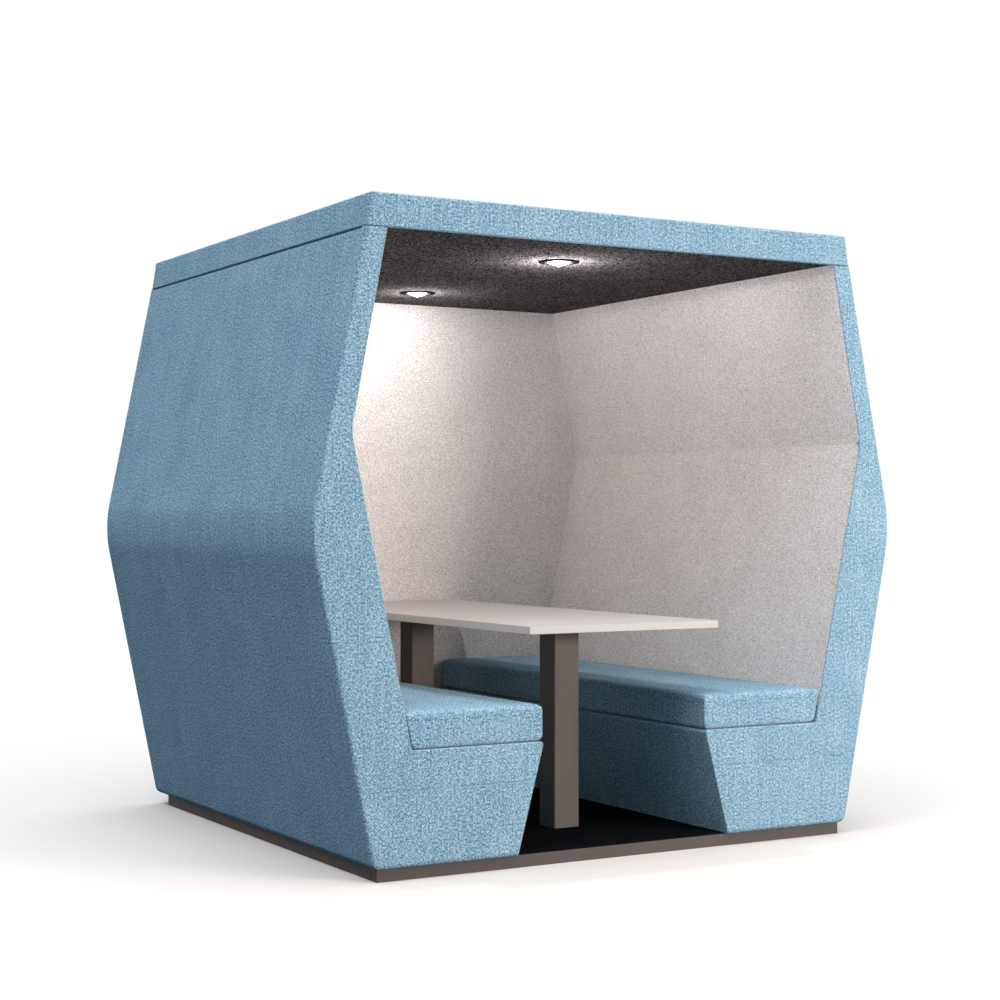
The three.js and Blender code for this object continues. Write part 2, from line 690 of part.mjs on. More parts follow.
function roofFrame() {
  const narrowest = Math.min(roofSideAt(ceilingTop), roofSideAt(roofFrameTop));
  const halfWidth = narrowest - ROOF_WALL - FIT;
  const halfDepth = POD_DEPTH / 2 - ROOF_WALL - FIT;
  const halfBar = ROOF_FRAME_BAR / 2;
  const cross = lampY / 2;
  const bayWidth = halfWidth - ROOF_FRAME_BAR;
  const bays = [
    [ROOF_FRAME_BAR - halfDepth, -cross - halfBar],
    [halfBar - cross, cross - halfBar],
    [cross + halfBar, halfDepth - ROOF_FRAME_BAR],
  ].map(([yFrom, yTo]) => rectangle(-bayWidth, bayWidth, yFrom, yTo));
  const ladder = slab(
    rectangle(-halfWidth, halfWidth, -halfDepth, halfDepth),
    ceilingTop + FIT,
    roofFrameTop,
    bays,
  );
  const notch = LEAD_NOTCH / 2;
  const notchTop = ceilingTop + LEAD_NOTCH;
  const notches = [-cross, cross].map((y) =>
    box(-notch, notch, y - ROOF_FRAME_BAR, y + ROOF_FRAME_BAR, roofUnderside, notchTop));
  return cut(ladder, ...notches);
}

function ceilingLining() {
  const halfWidth = innerWall.at(roofUnderside, LINING_THICKNESS);
  const halfDepth = POD_DEPTH / 2 - ROOF_WALL - FIT;
  const holes = [-lampY, lampY].map((y) => circle(0, y, LAMP_HOLE_RADIUS, LAMP_SIDES));
  const sheet = rectangle(-halfWidth, halfWidth, -halfDepth, halfDepth);
  return slab(sheet, roofUnderside, ceilingTop, holes);
}

add('roof_cover', roofCover(), 'blueFabric');
add('roof_frame', roofFrame(), 'softwood');
add('ceiling_lining', ceilingLining(), 'darkLining');

// Downlight pieces, with Z measured from the ceiling face
const neckRadius = LAMP_HOLE_RADIUS - NECK_GAP;
const neckTop = CEILING_THICKNESS + NECK_RISE;
const reflectorBottom = TRIM_LIP - TRIM_DROP + FIT;
const clipAxisX = neckRadius + FIT + CLIP_BARREL_RADIUS;
const clipAxisZ = CEILING_THICKNESS + FIT + CLIP_BARREL_RADIUS;

// Sloped trim ring with its neck, and a pair of lugs for each spring clip
function trimRing() {
  const ring = turned([
    [TRIM_BORE, -TRIM_DROP],
    [TRIM_BORE + TRIM_NOSE, -TRIM_DROP],
    [TRIM_RADIUS, -TRIM_RIM],
    [TRIM_RADIUS, -FIT],
    [neckRadius, -FIT],
    [neckRadius, neckTop],
    [neckRadius - NECK_WALL, neckTop],
    [neckRadius - NECK_WALL, TRIM_LIP - TRIM_DROP],
    [TRIM_BORE, TRIM_LIP - TRIM_DROP],
    [TRIM_BORE, -TRIM_DROP],
  ]);
  const root = neckRadius - NECK_WALL / 2;
  const reach = clipAxisX + CLIP_BARREL_RADIUS - root;
  const lugX = root + reach / 2;
  const lugY = CLIP_WIDTH / 2 + FIT + CLIP_LUG / 2;
  const lugBottom = CEILING_THICKNESS + FIT;
  const lugHeight = neckTop - lugBottom;
  const lugs = [[-lugX, -lugY], [-lugX, lugY], [lugX, -lugY], [lugX, lugY]].map(([x, y]) =>
    new THREE.BoxGeometry(reach, CLIP_LUG, lugHeight).translate(x, y, lugBottom + lugHeight / 2));
  return join(ring, ...lugs);
}

function reflector() {
  const rim = neckRadius - NECK_WALL - REFLECTOR_RIM_GAP;
  return turned([
    [rim - REFLECTOR_WALL, reflectorBottom],
    [rim, reflectorBottom],
    [REFLECTOR_TOP_RADIUS + REFLECTOR_WALL, CEILING_THICKNESS],
    [REFLECTOR_TOP_RADIUS, CEILING_THICKNESS],
    [rim - REFLECTOR_WALL, reflectorBottom],
  ]);
}

// Opal lens: a shallow dome with a round button in its middle
function lens() {
  const rise = LENS_DOME_DROP - LENS_EDGE_DROP;
  const domeAt = (radius) => rise * (radius / LENS_RADIUS) ** 2 - LENS_DOME_DROP;
  const buttonTop = domeAt(LENS_BUTTON_RADIUS);
  const profile = [];
  for (let step = 0; step < LENS_STEPS; step += 1) {
    const turn = (step / LENS_STEPS) * (Math.PI / 2);
    const drop = (LENS_BUTTON_DROP + buttonTop) * Math.cos(turn);
    profile.push([LENS_BUTTON_RADIUS * Math.sin(turn), buttonTop - drop]);
  }
  for (let step = 0; step <= LENS_STEPS; step += 1) {
    const radius = LENS_BUTTON_RADIUS + (LENS_RADIUS - LENS_BUTTON_RADIUS) * (step / LENS_STEPS);
    profile.push([radius, domeAt(radius)]);
  }
  return turned([...profile, [LENS_RADIUS, CEILING_THICKNESS], [0, CEILING_THICKNESS]]);
}

// Lamp body: seats on the neck with a flange, holds the lens below and carries cooling fins above
function lampBody() {
  const seat = neckTop + FIT;
  const flangeTop = seat + LAMP_FLANGE;
  const profile = [
    [0, CEILING_THICKNESS + FIT],
    [LENS_RADIUS, CEILING_THICKNESS + FIT],
    [REFLECTOR_TOP_RADIUS, seat],
    [neckRadius, seat],
    [neckRadius, flangeTop],
    [FIN_CORE_RADIUS, flangeTop],
  ];
  for (let fin = 0; fin < FIN_COUNT; fin += 1) {
    const top = flangeTop + (fin + 1) * FIN_PITCH;
    profile.push([FIN_CORE_RADIUS, top - FIN_THICKNESS]);
    profile.push([FIN_RADIUS, top - FIN_THICKNESS], [FIN_RADIUS, top]);
    if (fin + 1 < FIN_COUNT) {
      profile.push([FIN_CORE_RADIUS, top]);
    }
  }
  profile.push([0, flangeTop + FIN_COUNT * FIN_PITCH]);
  return turned(profile);
}

// Spring clip: a strip rolled round its pivot, lying out over the ceiling panel with its tip turned up
function springClip(side) {
  const under = CEILING_THICKNESS + FIT;
  const opening = Math.asin((CLIP_BARREL_RADIUS - CLIP_STRIP) / CLIP_BARREL_RADIUS);
  const roll = new THREE.Path();
  roll.absarc(clipAxisX, clipAxisZ, CLIP_BARREL_RADIUS, -opening, 1.5 * Math.PI);
  const tip = clipAxisX + CLIP_LENGTH;
  const points = [
    ...roll.getPoints(ROLL_STEPS),
    new THREE.Vector2(tip, under),
    new THREE.Vector2(tip + CLIP_STRIP, under + 2 * CLIP_STRIP),
    new THREE.Vector2(tip - CLIP_STRIP, under + CLIP_STRIP),
  ];
  return prism(mirrored(points, side), -CLIP_WIDTH / 2, CLIP_WIDTH / 2);
}

for (const [name, end] of [['front', -1], ['rear', 1]]) {
  const lamp = new THREE.Group();
  lamp.position.set(0, end * lampY, roofUnderside);
  pod.add(lamp);
  add(`${name}_lamp_trim_ring`, trimRing(), 'trim', lamp);
  add(`${name}_lamp_reflector`, reflector(), 'reflector', lamp);
  add(`${name}_lamp_lens`, lens(), 'lens', lamp);
  add(`${name}_lamp_body`, lampBody(), 'lampBody', lamp);
  for (const [sideName, side] of SIDES) {
    add(`${name}_lamp_clip_${sideName}`, springClip(side), 'springSteel', lamp);
  }
}

// Driver in the middle of the roof, with a lead along the ceiling panel to each lamp
function driver() {
  const halfWidth = DRIVER_WIDTH / 2;
  const low = ceilingTop + FIT;
  const points = outline([
    corner(-halfWidth, low),
    corner(halfWidth, low),
    corner(halfWidth, low + DRIVER_HEIGHT, DRIVER_EDGE),
    corner(-halfWidth, low + DRIVER_HEIGHT, DRIVER_EDGE),
  ]);
  return prism(points, -DRIVER_LENGTH / 2, DRIVER_LENGTH / 2);
}

function lead(end) {
  const z = ceilingTop + FIT + LEAD_RADIUS;
  const section = new THREE.Shape(circle(0, 0, LEAD_RADIUS, LEAD_SIDES));
  const from = new THREE.Vector3(0, end * (DRIVER_LENGTH / 2 + FIT), z);
  const to = new THREE.Vector3(0, end * (lampY - neckRadius - 2 * FIT), z);
  const extrudePath = new THREE.LineCurve3(from, to);
  return new THREE.ExtrudeGeometry(section, { extrudePath, steps: LEAD_STEPS });
}

add('led_driver', driver(), 'driverCase');
add('lead_to_front_lamp', lead(-1), 'leadSheath');
add('lead_to_rear_lamp', lead(1), 'leadSheath');

// Plinth: four rails round a deck on two joists
const railInside = PLINTH_HALF_WIDTH - PLINTH_RAIL;
const deckFront = plinthFront + PLINTH_RAIL + FIT;
const deckBack = plinthBack - PLINTH_RAIL - FIT;
const deckBottom = PLINTH_HEIGHT - DECK_THICKNESS;
const footInset = FOOT_EDGE_GAP + FOOT_PAD_RADIUS;
const footX = railInside - footInset;
const FEET = [
  ['front_left', -footX, deckFront + footInset],
  ['front_right', footX, deckFront + footInset],
  ['rear_left', -footX, deckBack - footInset],
  ['rear_right', footX, deckBack - footInset],
];

function floorDeck() {
  const half = railInside - FIT;
  const holes = FEET.map(([, x, y]) => circle(x, y, FOOT_STEM_RADIUS + FOOT_HOLE_GAP, STEM_SIDES));
  return slab(rectangle(-half, half, deckFront, deckBack), deckBottom, PLINTH_HEIGHT, holes);
}

function levellingFoot() {
  return turned([
    [0, 0],
    [FOOT_PAD_RADIUS - FOOT_CHAMFER, 0],
    [FOOT_PAD_RADIUS, FOOT_CHAMFER],
    [FOOT_PAD_RADIUS, FOOT_PAD_HEIGHT],
    [2 * FOOT_STEM_RADIUS, FOOT_PAD_HEIGHT + FOOT_CHAMFER],
    [FOOT_STEM_RADIUS, FOOT_PAD_HEIGHT + FOOT_CHAMFER],
    [FOOT_STEM_RADIUS, FOOT_STEM_TOP],
    [0, FOOT_STEM_TOP],
  ], STEM_SIDES);
}

function plinthRail(xFrom, xTo, yFrom, yTo) {
  return box(xFrom, xTo, yFrom, yTo, 0, PLINTH_HEIGHT);
}

const wide = PLINTH_HALF_WIDTH;
add('plinth_front_rail', plinthRail(-wide, wide, plinthFront, deckFront - FIT), 'plinthPaint');
add('plinth_back_rail', plinthRail(-wide, wide, deckBack + FIT, plinthBack), 'plinthPaint');
add('plinth_left_rail', plinthRail(-wide, -railInside, deckFront, deckBack), 'plinthPaint');
add('plinth_right_rail', plinthRail(railInside, wide, deckFront, deckBack), 'plinthPaint');
for (const [name, side] of SIDES) {
  const middle = side * JOIST_HALF_SPACING;
  const half = JOIST_WIDTH / 2;
  const joist = box(middle - half, middle + half, deckFront, deckBack, JOIST_LIFT, deckBottom - FIT);
  add(`plinth_joist_${name}`, joist, 'softwood');
}
add('floor_deck', floorDeck(), 'plywood');
for (const [name, x, y] of FEET) {
  add(`levelling_foot_${name}`, levellingFoot().translate(x, y, 0), 'footPlastic');
}

const carpetHalf = benchFaceAt(carpetTop) - CARPET_EDGE_GAP;
const carpetSheet = rectangle(-carpetHalf, carpetHalf, plinthFront, liningFace - FIT);
add('floor_carpet', slab(carpetSheet, carpetBottom, carpetTop), 'carpet');

// Table: a board on two square tubes, held by timber blocks in the tubes' ends
function tableTop() {
  const half = TABLE_WIDTH / 2;
  const board = rectangle(-half, half, front, liningFace - TABLE_BACK_GAP);
  const slabOfBoard = softExtrusion(board, TABLE_THICKNESS, TABLE_EDGE, 1);
  return slabOfBoard.translate(0, 0, tableBottom + TABLE_EDGE);
}

function squareOutline(size, y, radius) {
  const half = size / 2;
  return outline([
    corner(-half, y - half, radius),
    corner(half, y - half, radius),
    corner(half, y + half, radius),
    corner(-half, y + half, radius),
  ], SMALL_ARC_STEPS);
}

const legBottom = carpetTop + FIT;
const legTop = tableBottom - FIT;
const bore = LEG_SIZE - 2 * LEG_WALL;
const boreRadius = LEG_CORNER_RADIUS - LEG_WALL;
add('table_top', tableTop(), 'tableBoard');
for (const [name, end] of [['front', -1], ['rear', 1]]) {
  const y = end * legY;
  const tube = slab(
    squareOutline(LEG_SIZE, y, LEG_CORNER_RADIUS),
    legBottom,
    legTop,
    [squareOutline(bore, y, boreRadius)],
  );
  add(`table_leg_${name}`, tube, 'legPaint');
  const block = squareOutline(bore - 2 * FIT, y, boreRadius);
  add(`leg_block_${name}_top`, slab(block, legTop - LEG_BLOCK_HEIGHT, legTop), 'softwood');
  add(`leg_block_${name}_bottom`, slab(block, legBottom, legBottom + LEG_BLOCK_HEIGHT), 'softwood');
}

export default pod;
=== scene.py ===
"""Looks of an open-fronted acoustic meeting pod, over its solids. Metres, +Z up, the front faces -Y."""

import math

import bmesh
import bpy
import numpy as np
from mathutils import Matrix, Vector


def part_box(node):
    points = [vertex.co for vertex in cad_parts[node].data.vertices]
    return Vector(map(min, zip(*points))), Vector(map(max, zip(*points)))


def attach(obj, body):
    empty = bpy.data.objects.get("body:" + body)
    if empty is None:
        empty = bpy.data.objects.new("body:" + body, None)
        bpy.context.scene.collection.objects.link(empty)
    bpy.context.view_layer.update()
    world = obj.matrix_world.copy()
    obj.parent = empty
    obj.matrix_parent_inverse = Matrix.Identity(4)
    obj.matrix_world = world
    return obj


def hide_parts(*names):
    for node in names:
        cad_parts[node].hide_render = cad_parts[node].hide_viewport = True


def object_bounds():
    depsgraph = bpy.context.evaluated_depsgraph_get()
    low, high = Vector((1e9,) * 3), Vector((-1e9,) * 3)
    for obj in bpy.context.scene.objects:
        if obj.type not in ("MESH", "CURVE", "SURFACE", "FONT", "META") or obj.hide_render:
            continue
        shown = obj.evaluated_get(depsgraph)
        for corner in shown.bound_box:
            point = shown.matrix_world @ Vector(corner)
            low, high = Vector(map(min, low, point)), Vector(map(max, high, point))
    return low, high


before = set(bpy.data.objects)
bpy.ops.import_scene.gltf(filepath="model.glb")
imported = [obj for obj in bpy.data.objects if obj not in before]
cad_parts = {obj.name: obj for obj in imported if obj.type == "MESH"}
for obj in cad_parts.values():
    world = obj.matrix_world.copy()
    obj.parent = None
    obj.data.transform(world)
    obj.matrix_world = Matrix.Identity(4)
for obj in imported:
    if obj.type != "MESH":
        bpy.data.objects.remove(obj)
CAD_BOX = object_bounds()

# Places taken from the frame
FRONT, BACK = CAD_BOX[0].y, CAD_BOX[1].y
ROOF_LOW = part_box("roof_cover")[0].z
PAD_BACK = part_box("right_front_pad")[1].y
COVER_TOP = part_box("right_outer_cover")[1].z
COVER_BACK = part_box("right_outer_cover")[1].y
SHELL_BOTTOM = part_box("right_outer_cover")[0].z
SHELF_GAP = 0.002
PAD_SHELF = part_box("right_seat_cushion")[0].z - SHELF_GAP
BACK_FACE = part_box("back_lining")[0].y
LINING_LOW, LINING_HIGH = (corner.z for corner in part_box("right_inner_lining"))
LAMP_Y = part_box("rear_lamp_lens")[0].y * 0.5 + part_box("rear_lamp_lens")[1].y * 0.5

# Side walls: half widths and heights where they start, bend and end
OUTER_FOOT = Vector((0.924, 0.040))
OUTER_KNUCKLE = Vector((1.135, 1.069))
OUTER_EAVES = Vector((0.948, 1.996))
INNER_SEAT = Vector((0.7874, 0.398))
INNER_KNUCKLE = Vector((0.9911, 1.371))
INNER_EAVES = Vector((0.870, 1.996))
BENCH_HEAD = Vector((0.316, 0.392))
BENCH_FOOT = Vector((0.411, 0.040))
ROOF_TOP_HALF = 0.932
FIT = 0.0003

# Upholstery: thicknesses, soft edges and the lengths over which corners bend
COVER = 0.025
LINING = 0.015
LIP = 0.003
LIP_CUT = 0.057
LIP_SETBACK = 0.0038
BACK_TRAY_WALL = 0.012
ROOF_TRAY_WALL = 0.020
SOFT_EDGE = 0.016
BACK_EDGE = 0.009
CARPET_EDGE = 0.002
EASED_EDGE = 0.0012
KNUCKLE_RUN = 0.085
INNER_KNUCKLE_RUN = 0.028
LINING_CREASE = 0.004
FELT_EDGE = 0.0008
FOOT_RUN = 0.022
NOTCH_RUN = 0.006
BENCH_CORNER_RUN = 0.015
PAD_TOP_GAP = 0.0015
STEP_RUN = 0.001
SEAM_WIDTH = 0.002
SEAM_DEPTH = 0.0024
FRONT_SEAM_HEIGHT = 0.2755
SEAM_OFFSET = 0.31
BENCH_WELT = 0.005

# Shares of the soft edge's width that each kind of edge gets
REAR_SHARE = 0.2
TOP_SHARE = 0.15
INNER_SHARE = 0.22
JOINT_SHARE = 0.3
ROOF_TOP_SHARE = 0.5

# Angles between faces, the reach of an edge, and lengths that count as nothing
SOFT_ANGLE = math.radians(30)
SMOOTH_ANGLE = math.radians(32)
LINING_SMOOTH_ANGLE = math.radians(25)
HARD_ANGLE = math.radians(40)
FLAT_ANGLE = math.radians(1)
EDGE_REACH = 0.01
NEAR = 1e-5
MERGE = 1e-6

# Steps round a bend, from the widest to the finest, and round a turned piece
KNUCKLE_STEPS = 10
CORNER_STEPS = 5
SMALL_STEPS = 4
CREASE_STEPS = 3
EASED_STEPS = 2
SPIN_STEPS = 64

# Seat cushions
CUSHION_SLACK = 0.0012
CUSHION_EDGE = 0.006
CUSHION_LOW_EDGE = 0.004
CUSHION_WALL_GAP = 0.0015
CUSHION_PRESS = 0.008
CUSHION_CROWN = 0.004
CUSHION_PROUD = 0.003
CUSHION_VOXEL = 0.0105
CUSHION_PRESSURE = 4.0
CUSHION_CAP = 0.005
CUSHION_FRAMES = 20
CUSHION_QUALITY = 4
CUSHION_SEAM_DROP = 0.034

# Lamps: radii, and drops and heights from the ceiling line
RING_RADIUS = 0.071
RING_EASE = 0.0006
RING_BAND = 0.050
RING_LIP = 0.049
RING_GAP = 0.0003
RING_RIM_DROP = 0.0032
RING_DROP = 0.0044
CONE_RADIUS = 0.0415
CONE_RISE = 0.001
SLEEVE_RADIUS = 0.060
SLEEVE_HEIGHT = 0.018
DOME_RADIUS = 0.0385
DOME_SHOULDER = 0.034
DOME_RIM_DROP = 0.003
DOME_DEPTH = 0.010
BUTTON_RADIUS = 0.006
BUTTON_DROP = 0.0127
BUTTON_DEPTH = 0.0045
BUTTON_STEPS = 6
LENS_HEIGHT = 0.012

# Light and floor
SKY_LOW = (0.03, 0.04, 0.05, 1)
SKY_HIGH = (2.88, 3.38, 3.86, 1)
SKY_RISE = 3.0
KEY_PLACE = Vector((3.35, -6.36, 1.4))
KEY_AIM = Vector((0.2, -0.9, 1.0))
KEY_SIZE = (2.5, 0.8)
KEY_POWER = 436.0
KEY_COLOUR = (1.02, 0.95, 0.88)
FILL_PLACE = Vector((-3.9, -2.2, 5.4))
FILL_AIM = Vector((-0.2, -0.7, 1.0))
FILL_SIZE = (3.0, 3.0)
FILL_POWER = 98.0
FILL_COLOUR = (1.05, 1.0, 0.99)
LAMP_POWER = {"front": 11.5, "rear": 3.0}
GLOW_POWER = {"front": 9.0, "rear": 5.0}
LAMP_DROP = {"SPOT": 0.020, "POINT": 0.080}
LAMP_RADIUS = 0.015
LAMP_COLOUR = (1.0, 0.99, 0.98)
LAMP_GLINT = 0.1
# The floor's seen colour holds a painted shadow: it is darker near the pod and turns to the far colour
# between the two fade distances.
FLOOR_FAR = (0.885, 0.755, 0.662, 1)
FLOOR_PAINTED_SHADOW = (0.772, 0.668, 0.600, 1)
FLOOR_SHADOW_FADE = (2.0, 7.0)
FLOOR_BOUNCE = (0.075, 0.095, 0.115, 1)
FLOOR_REACH = 60.0
WHITE = (1, 1, 1, 1)

# Camera
CAMERA_LENS = 68.16
CAMERA_SENSOR = 36.0
CAMERA_PLACE = (-3.4698, -6.0953, 1.1116)
CAMERA_TILT = math.radians(90.508)
CAMERA_TURN = math.radians(-30.151)


def bent_wall(foot, knuckle, top):
    """Two functions for a wall with one bend: its bend and its point at a height, both offset outwards."""
    low = (knuckle - foot).normalized()
    high = (top - knuckle).normalized()
    low_out = Vector((low.y, -low.x))
    high_out = Vector((high.y, -high.x))
    mitre = (low_out + high_out) / (1 + low_out.dot(high_out))

    def bend(offset=0.0):
        return knuckle + mitre * offset

    def at(z, offset=0.0):
        turn = bend(offset)
        run = low if z < turn.y else high
        return Vector((turn.x + (z - turn.y) * run.x / run.y, z))

    return bend, at


outer_bend, outer_at = bent_wall(OUTER_FOOT, OUTER_KNUCKLE, OUTER_EAVES)
inner_bend, inner_at = bent_wall(INNER_SEAT, INNER_KNUCKLE, INNER_EAVES)


def bench_at(z, run=0.0):
    """Point of the bench face at a height, moved out by a run."""
    share = (BENCH_HEAD.y - z) / (BENCH_HEAD.y - BENCH_FOOT.y)
    return Vector((BENCH_HEAD.x + (BENCH_FOOT.x - BENCH_HEAD.x) * share + run, z))


# Mesh helpers

def face_of(bm, points, y, side=1):
    """A flat face across the pod at a depth, from points of half width and height."""
    return bm.faces.new([bm.verts.new((side * point.x, y, point.y)) for point in points])


def carry(bm, faces, shift, closing=False):
    """Extrudes faces by a shift and returns the moved faces. Closing takes away the faces left inside."""
    made = bmesh.ops.extrude_face_region(bm, geom=faces)["geom"]
    verts = [item for item in made if isinstance(item, bmesh.types.BMVert)]
    bmesh.ops.translate(bm, verts=verts, vec=shift)
    if closing:
        bmesh.ops.delete(bm, geom=faces, context="FACES_ONLY")
    return [item for item in made if isinstance(item, bmesh.types.BMFace)]


def edges_along_y(bm, point, side=1):
    """Edges that run front to back through a point of the section."""
    target = Vector((side * point.x, point.y))

    def on_line(vert):
        return (Vector((vert.co.x, vert.co.z)) - target).length < NEAR

    return [edge for edge in bm.edges if all(on_line(vert) for vert in edge.verts)]


def round_edges(bm, edges, run, segments):
    bmesh.ops.bevel(
        bm, geom=edges, offset=run, offset_type="OFFSET", affect="EDGES",
        segments=segments, profile=0.5, material=-1, clamp_overlap=False,
    )


def weigh_edges(bm, weight_of):
    """Stores how strongly each sharp edge is softened."""
    bm.normal_update()
    layer = bm.edges.layers.float.new("bevel_weight_edge")
    for edge in bm.edges:
        if len(edge.link_faces) == 2 and edge.calc_face_angle(0.0) > SOFT_ANGLE:
            edge[layer] = weight_of((edge.verts[0].co + edge.verts[1].co) / 2, edge)


def tidy(bm):
    bmesh.ops.remove_doubles(bm, verts=bm.verts, dist=MERGE)
    bmesh.ops.recalc_face_normals(bm, faces=bm.faces)


def mesh_object(name, bm):
    mesh = bpy.data.meshes.new(name)
    bm.to_mesh(mesh)
    bm.free()
    piece = bpy.data.objects.new(name, mesh)
    bpy.context.scene.collection.objects.link(piece)
    return piece


def bake_modifiers(piece):
    """Makes a piece's modifiers part of its mesh."""
    depsgraph = bpy.context.evaluated_depsgraph_get()
    mesh = bpy.data.meshes.new_from_object(piece.evaluated_get(depsgraph))
    piece.modifiers.clear()
    old = piece.data
    piece.data = mesh
    bpy.data.meshes.remove(old)
    mesh.name = piece.name


def soften(piece, width=SOFT_EDGE, segments=CORNER_STEPS):
    """Rounds a piece's weighted edges."""
    bevel = piece.modifiers.new("Soft edges", "BEVEL")
    bevel.limit_method = "WEIGHT"
    bevel.width = width
    bevel.segments = segments
    bevel.profile = 0.5
    bevel.use_clamp_overlap = False
    bake_modifiers(piece)


def edit(piece, change):
    """Runs a change on a piece's mesh as a bmesh."""
    bm = bmesh.new()
    bm.from_mesh(piece.data)
    change(bm)
    bm.to_mesh(piece.data)
    bm.free()


def slice_plane(bm, place, normal):
    geom = bm.verts[:] + bm.edges[:] + bm.faces[:]
    bmesh.ops.bisect_plane(bm, geom=geom, plane_co=place, plane_no=normal, dist=MERGE)


def sew(bm, place, normal, on_face, way, depth=SEAM_DEPTH, width=SEAM_WIDTH):
    """A sewn line across a face: its middle is moved, inwards for a seam and outwards for a welt."""
    for offset in (-width, 0.0, width):
        slice_plane(bm, place + normal * offset, normal)
    line = [v for v in bm.verts if abs((v.co - place).dot(normal)) < NEAR and on_face(v.co)]
    bmesh.ops.translate(bm, verts=line, vec=way * depth)


def lay_weave(piece):
    """A UV map in metres, so that the weave lies square on each face."""
    mesh = piece.data
    layer = mesh.uv_layers.new(name="Weave")
    loops = len(mesh.loops)
    vertex = np.empty(loops, np.int32)
    mesh.loops.foreach_get("vertex_index", vertex)
    places = np.empty(len(mesh.vertices) * 3, np.float32)
    mesh.vertices.foreach_get("co", places)
    places = places.reshape(-1, 3)[vertex]
    normals = np.empty(len(mesh.polygons) * 3, np.float32)
    mesh.polygons.foreach_get("normal", normals)
    counts = np.empty(len(mesh.polygons), np.int32)
    mesh.polygons.foreach_get("loop_total", counts)
    facing = np.repeat(np.abs(normals.reshape(-1, 3)).argmax(axis=1), counts)
    across = np.where(facing == 0, places[:, 1], places[:, 0])
    up = np.where(facing == 2, places[:, 1], places[:, 2])
    layer.data.foreach_set("uv", np.stack([across, up], axis=1).astype(np.float32).ravel())


def smooth_normals(piece, angle=SMOOTH_ANGLE):
    piece.data.shade_smooth()
    piece.data.set_sharp_from_angle(angle=angle)
    weighted = piece.modifiers.new("Flat faces", "WEIGHTED_NORMAL")
    weighted.keep_sharp = True


def hand_over(piece, material, nodes=(), body="pod"):
    """Gives a piece its finish and its place in the frame."""
    piece.data.materials.clear()
    piece.data.materials.append(material)
    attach(piece, body)
    if nodes:
        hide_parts(*nodes)


# Node helpers

def build(tree, kind, inputs=None, **settings):
    """A node with its settings, and with each input linked or set."""
    made = tree.nodes.new(kind)
    for key, value in settings.items():
        setattr(made, key, value)
    for key, value in (inputs or {}).items():
        if isinstance(value, bpy.types.NodeSocket):
            tree.links.new(value, made.inputs[key])
        else:
            made.inputs[key].default_value = value
    return made


def calc(tree, operation, *values):
    return build(tree, "ShaderNodeMath", dict(enumerate(values)), operation=operation).outputs[0]


def noise(tree, vector, scale, detail=2.0, roughness=0.5):
    inputs = {"Vector": vector, "Scale": scale, "Detail": detail, "Roughness": roughness}
    return build(tree, "ShaderNodeTexNoise", inputs).outputs["Fac"]


def stretch(tree, vector, scale):
    return build(tree, "ShaderNodeMapping", {"Vector": vector, "Scale": scale}).outputs[0]


def ramp(tree, value, stops):
    """A colour ramp from places and colours."""
    made = build(tree, "ShaderNodeValToRGB", {"Fac": value})
    made.color_ramp.elements[0].position, made.color_ramp.elements[1].position = stops[0][0], stops[-1][0]
    made.color_ramp.elements[0].color, made.color_ramp.elements[1].color = stops[0][1], stops[-1][1]
    for place, colour in stops[1:-1]:
        made.color_ramp.elements.new(place).color = colour
    return made.outputs["Color"]


def mix_colour(tree, share, first, second, blend="MIX"):
    made = build(tree, "ShaderNodeMix", data_type="RGBA", blend_type=blend)
    sockets = [s for s in made.inputs if s.enabled]
    for socket, value in zip(sockets, (share, first, second)):
        if isinstance(value, bpy.types.NodeSocket):
            tree.links.new(value, socket)
        else:
            socket.default_value = value
    return next(s for s in made.outputs if s.enabled)


def mix_value(tree, share, first, second):
    return build(tree, "ShaderNodeMix", {0: share, 2: first, 3: second}, data_type="FLOAT").outputs[0]


def rgb(red, green, blue):
    """A display colour from 0 to 255, made linear."""
    def linear(value):
        value /= 255
        return value / 12.92 if value <= 0.04045 else ((value + 0.055) / 1.055) ** 2.4
    return (linear(red), linear(green), linear(blue), 1.0)


def new_group(name, inputs, outputs):
    """An empty node group with its sockets, and its inner input and output sockets."""
    tree = bpy.data.node_groups.new(name, "ShaderNodeTree")
    for label, kind, value in inputs:
        socket = tree.interface.new_socket(label, in_out="INPUT", socket_type="NodeSocket" + kind)
        if value is not None:
            socket.default_value = value
    for label, kind in outputs:
        tree.interface.new_socket(label, in_out="OUTPUT", socket_type="NodeSocket" + kind)
    return tree, build(tree, "NodeGroupInput").outputs, build(tree, "NodeGroupOutput").inputs


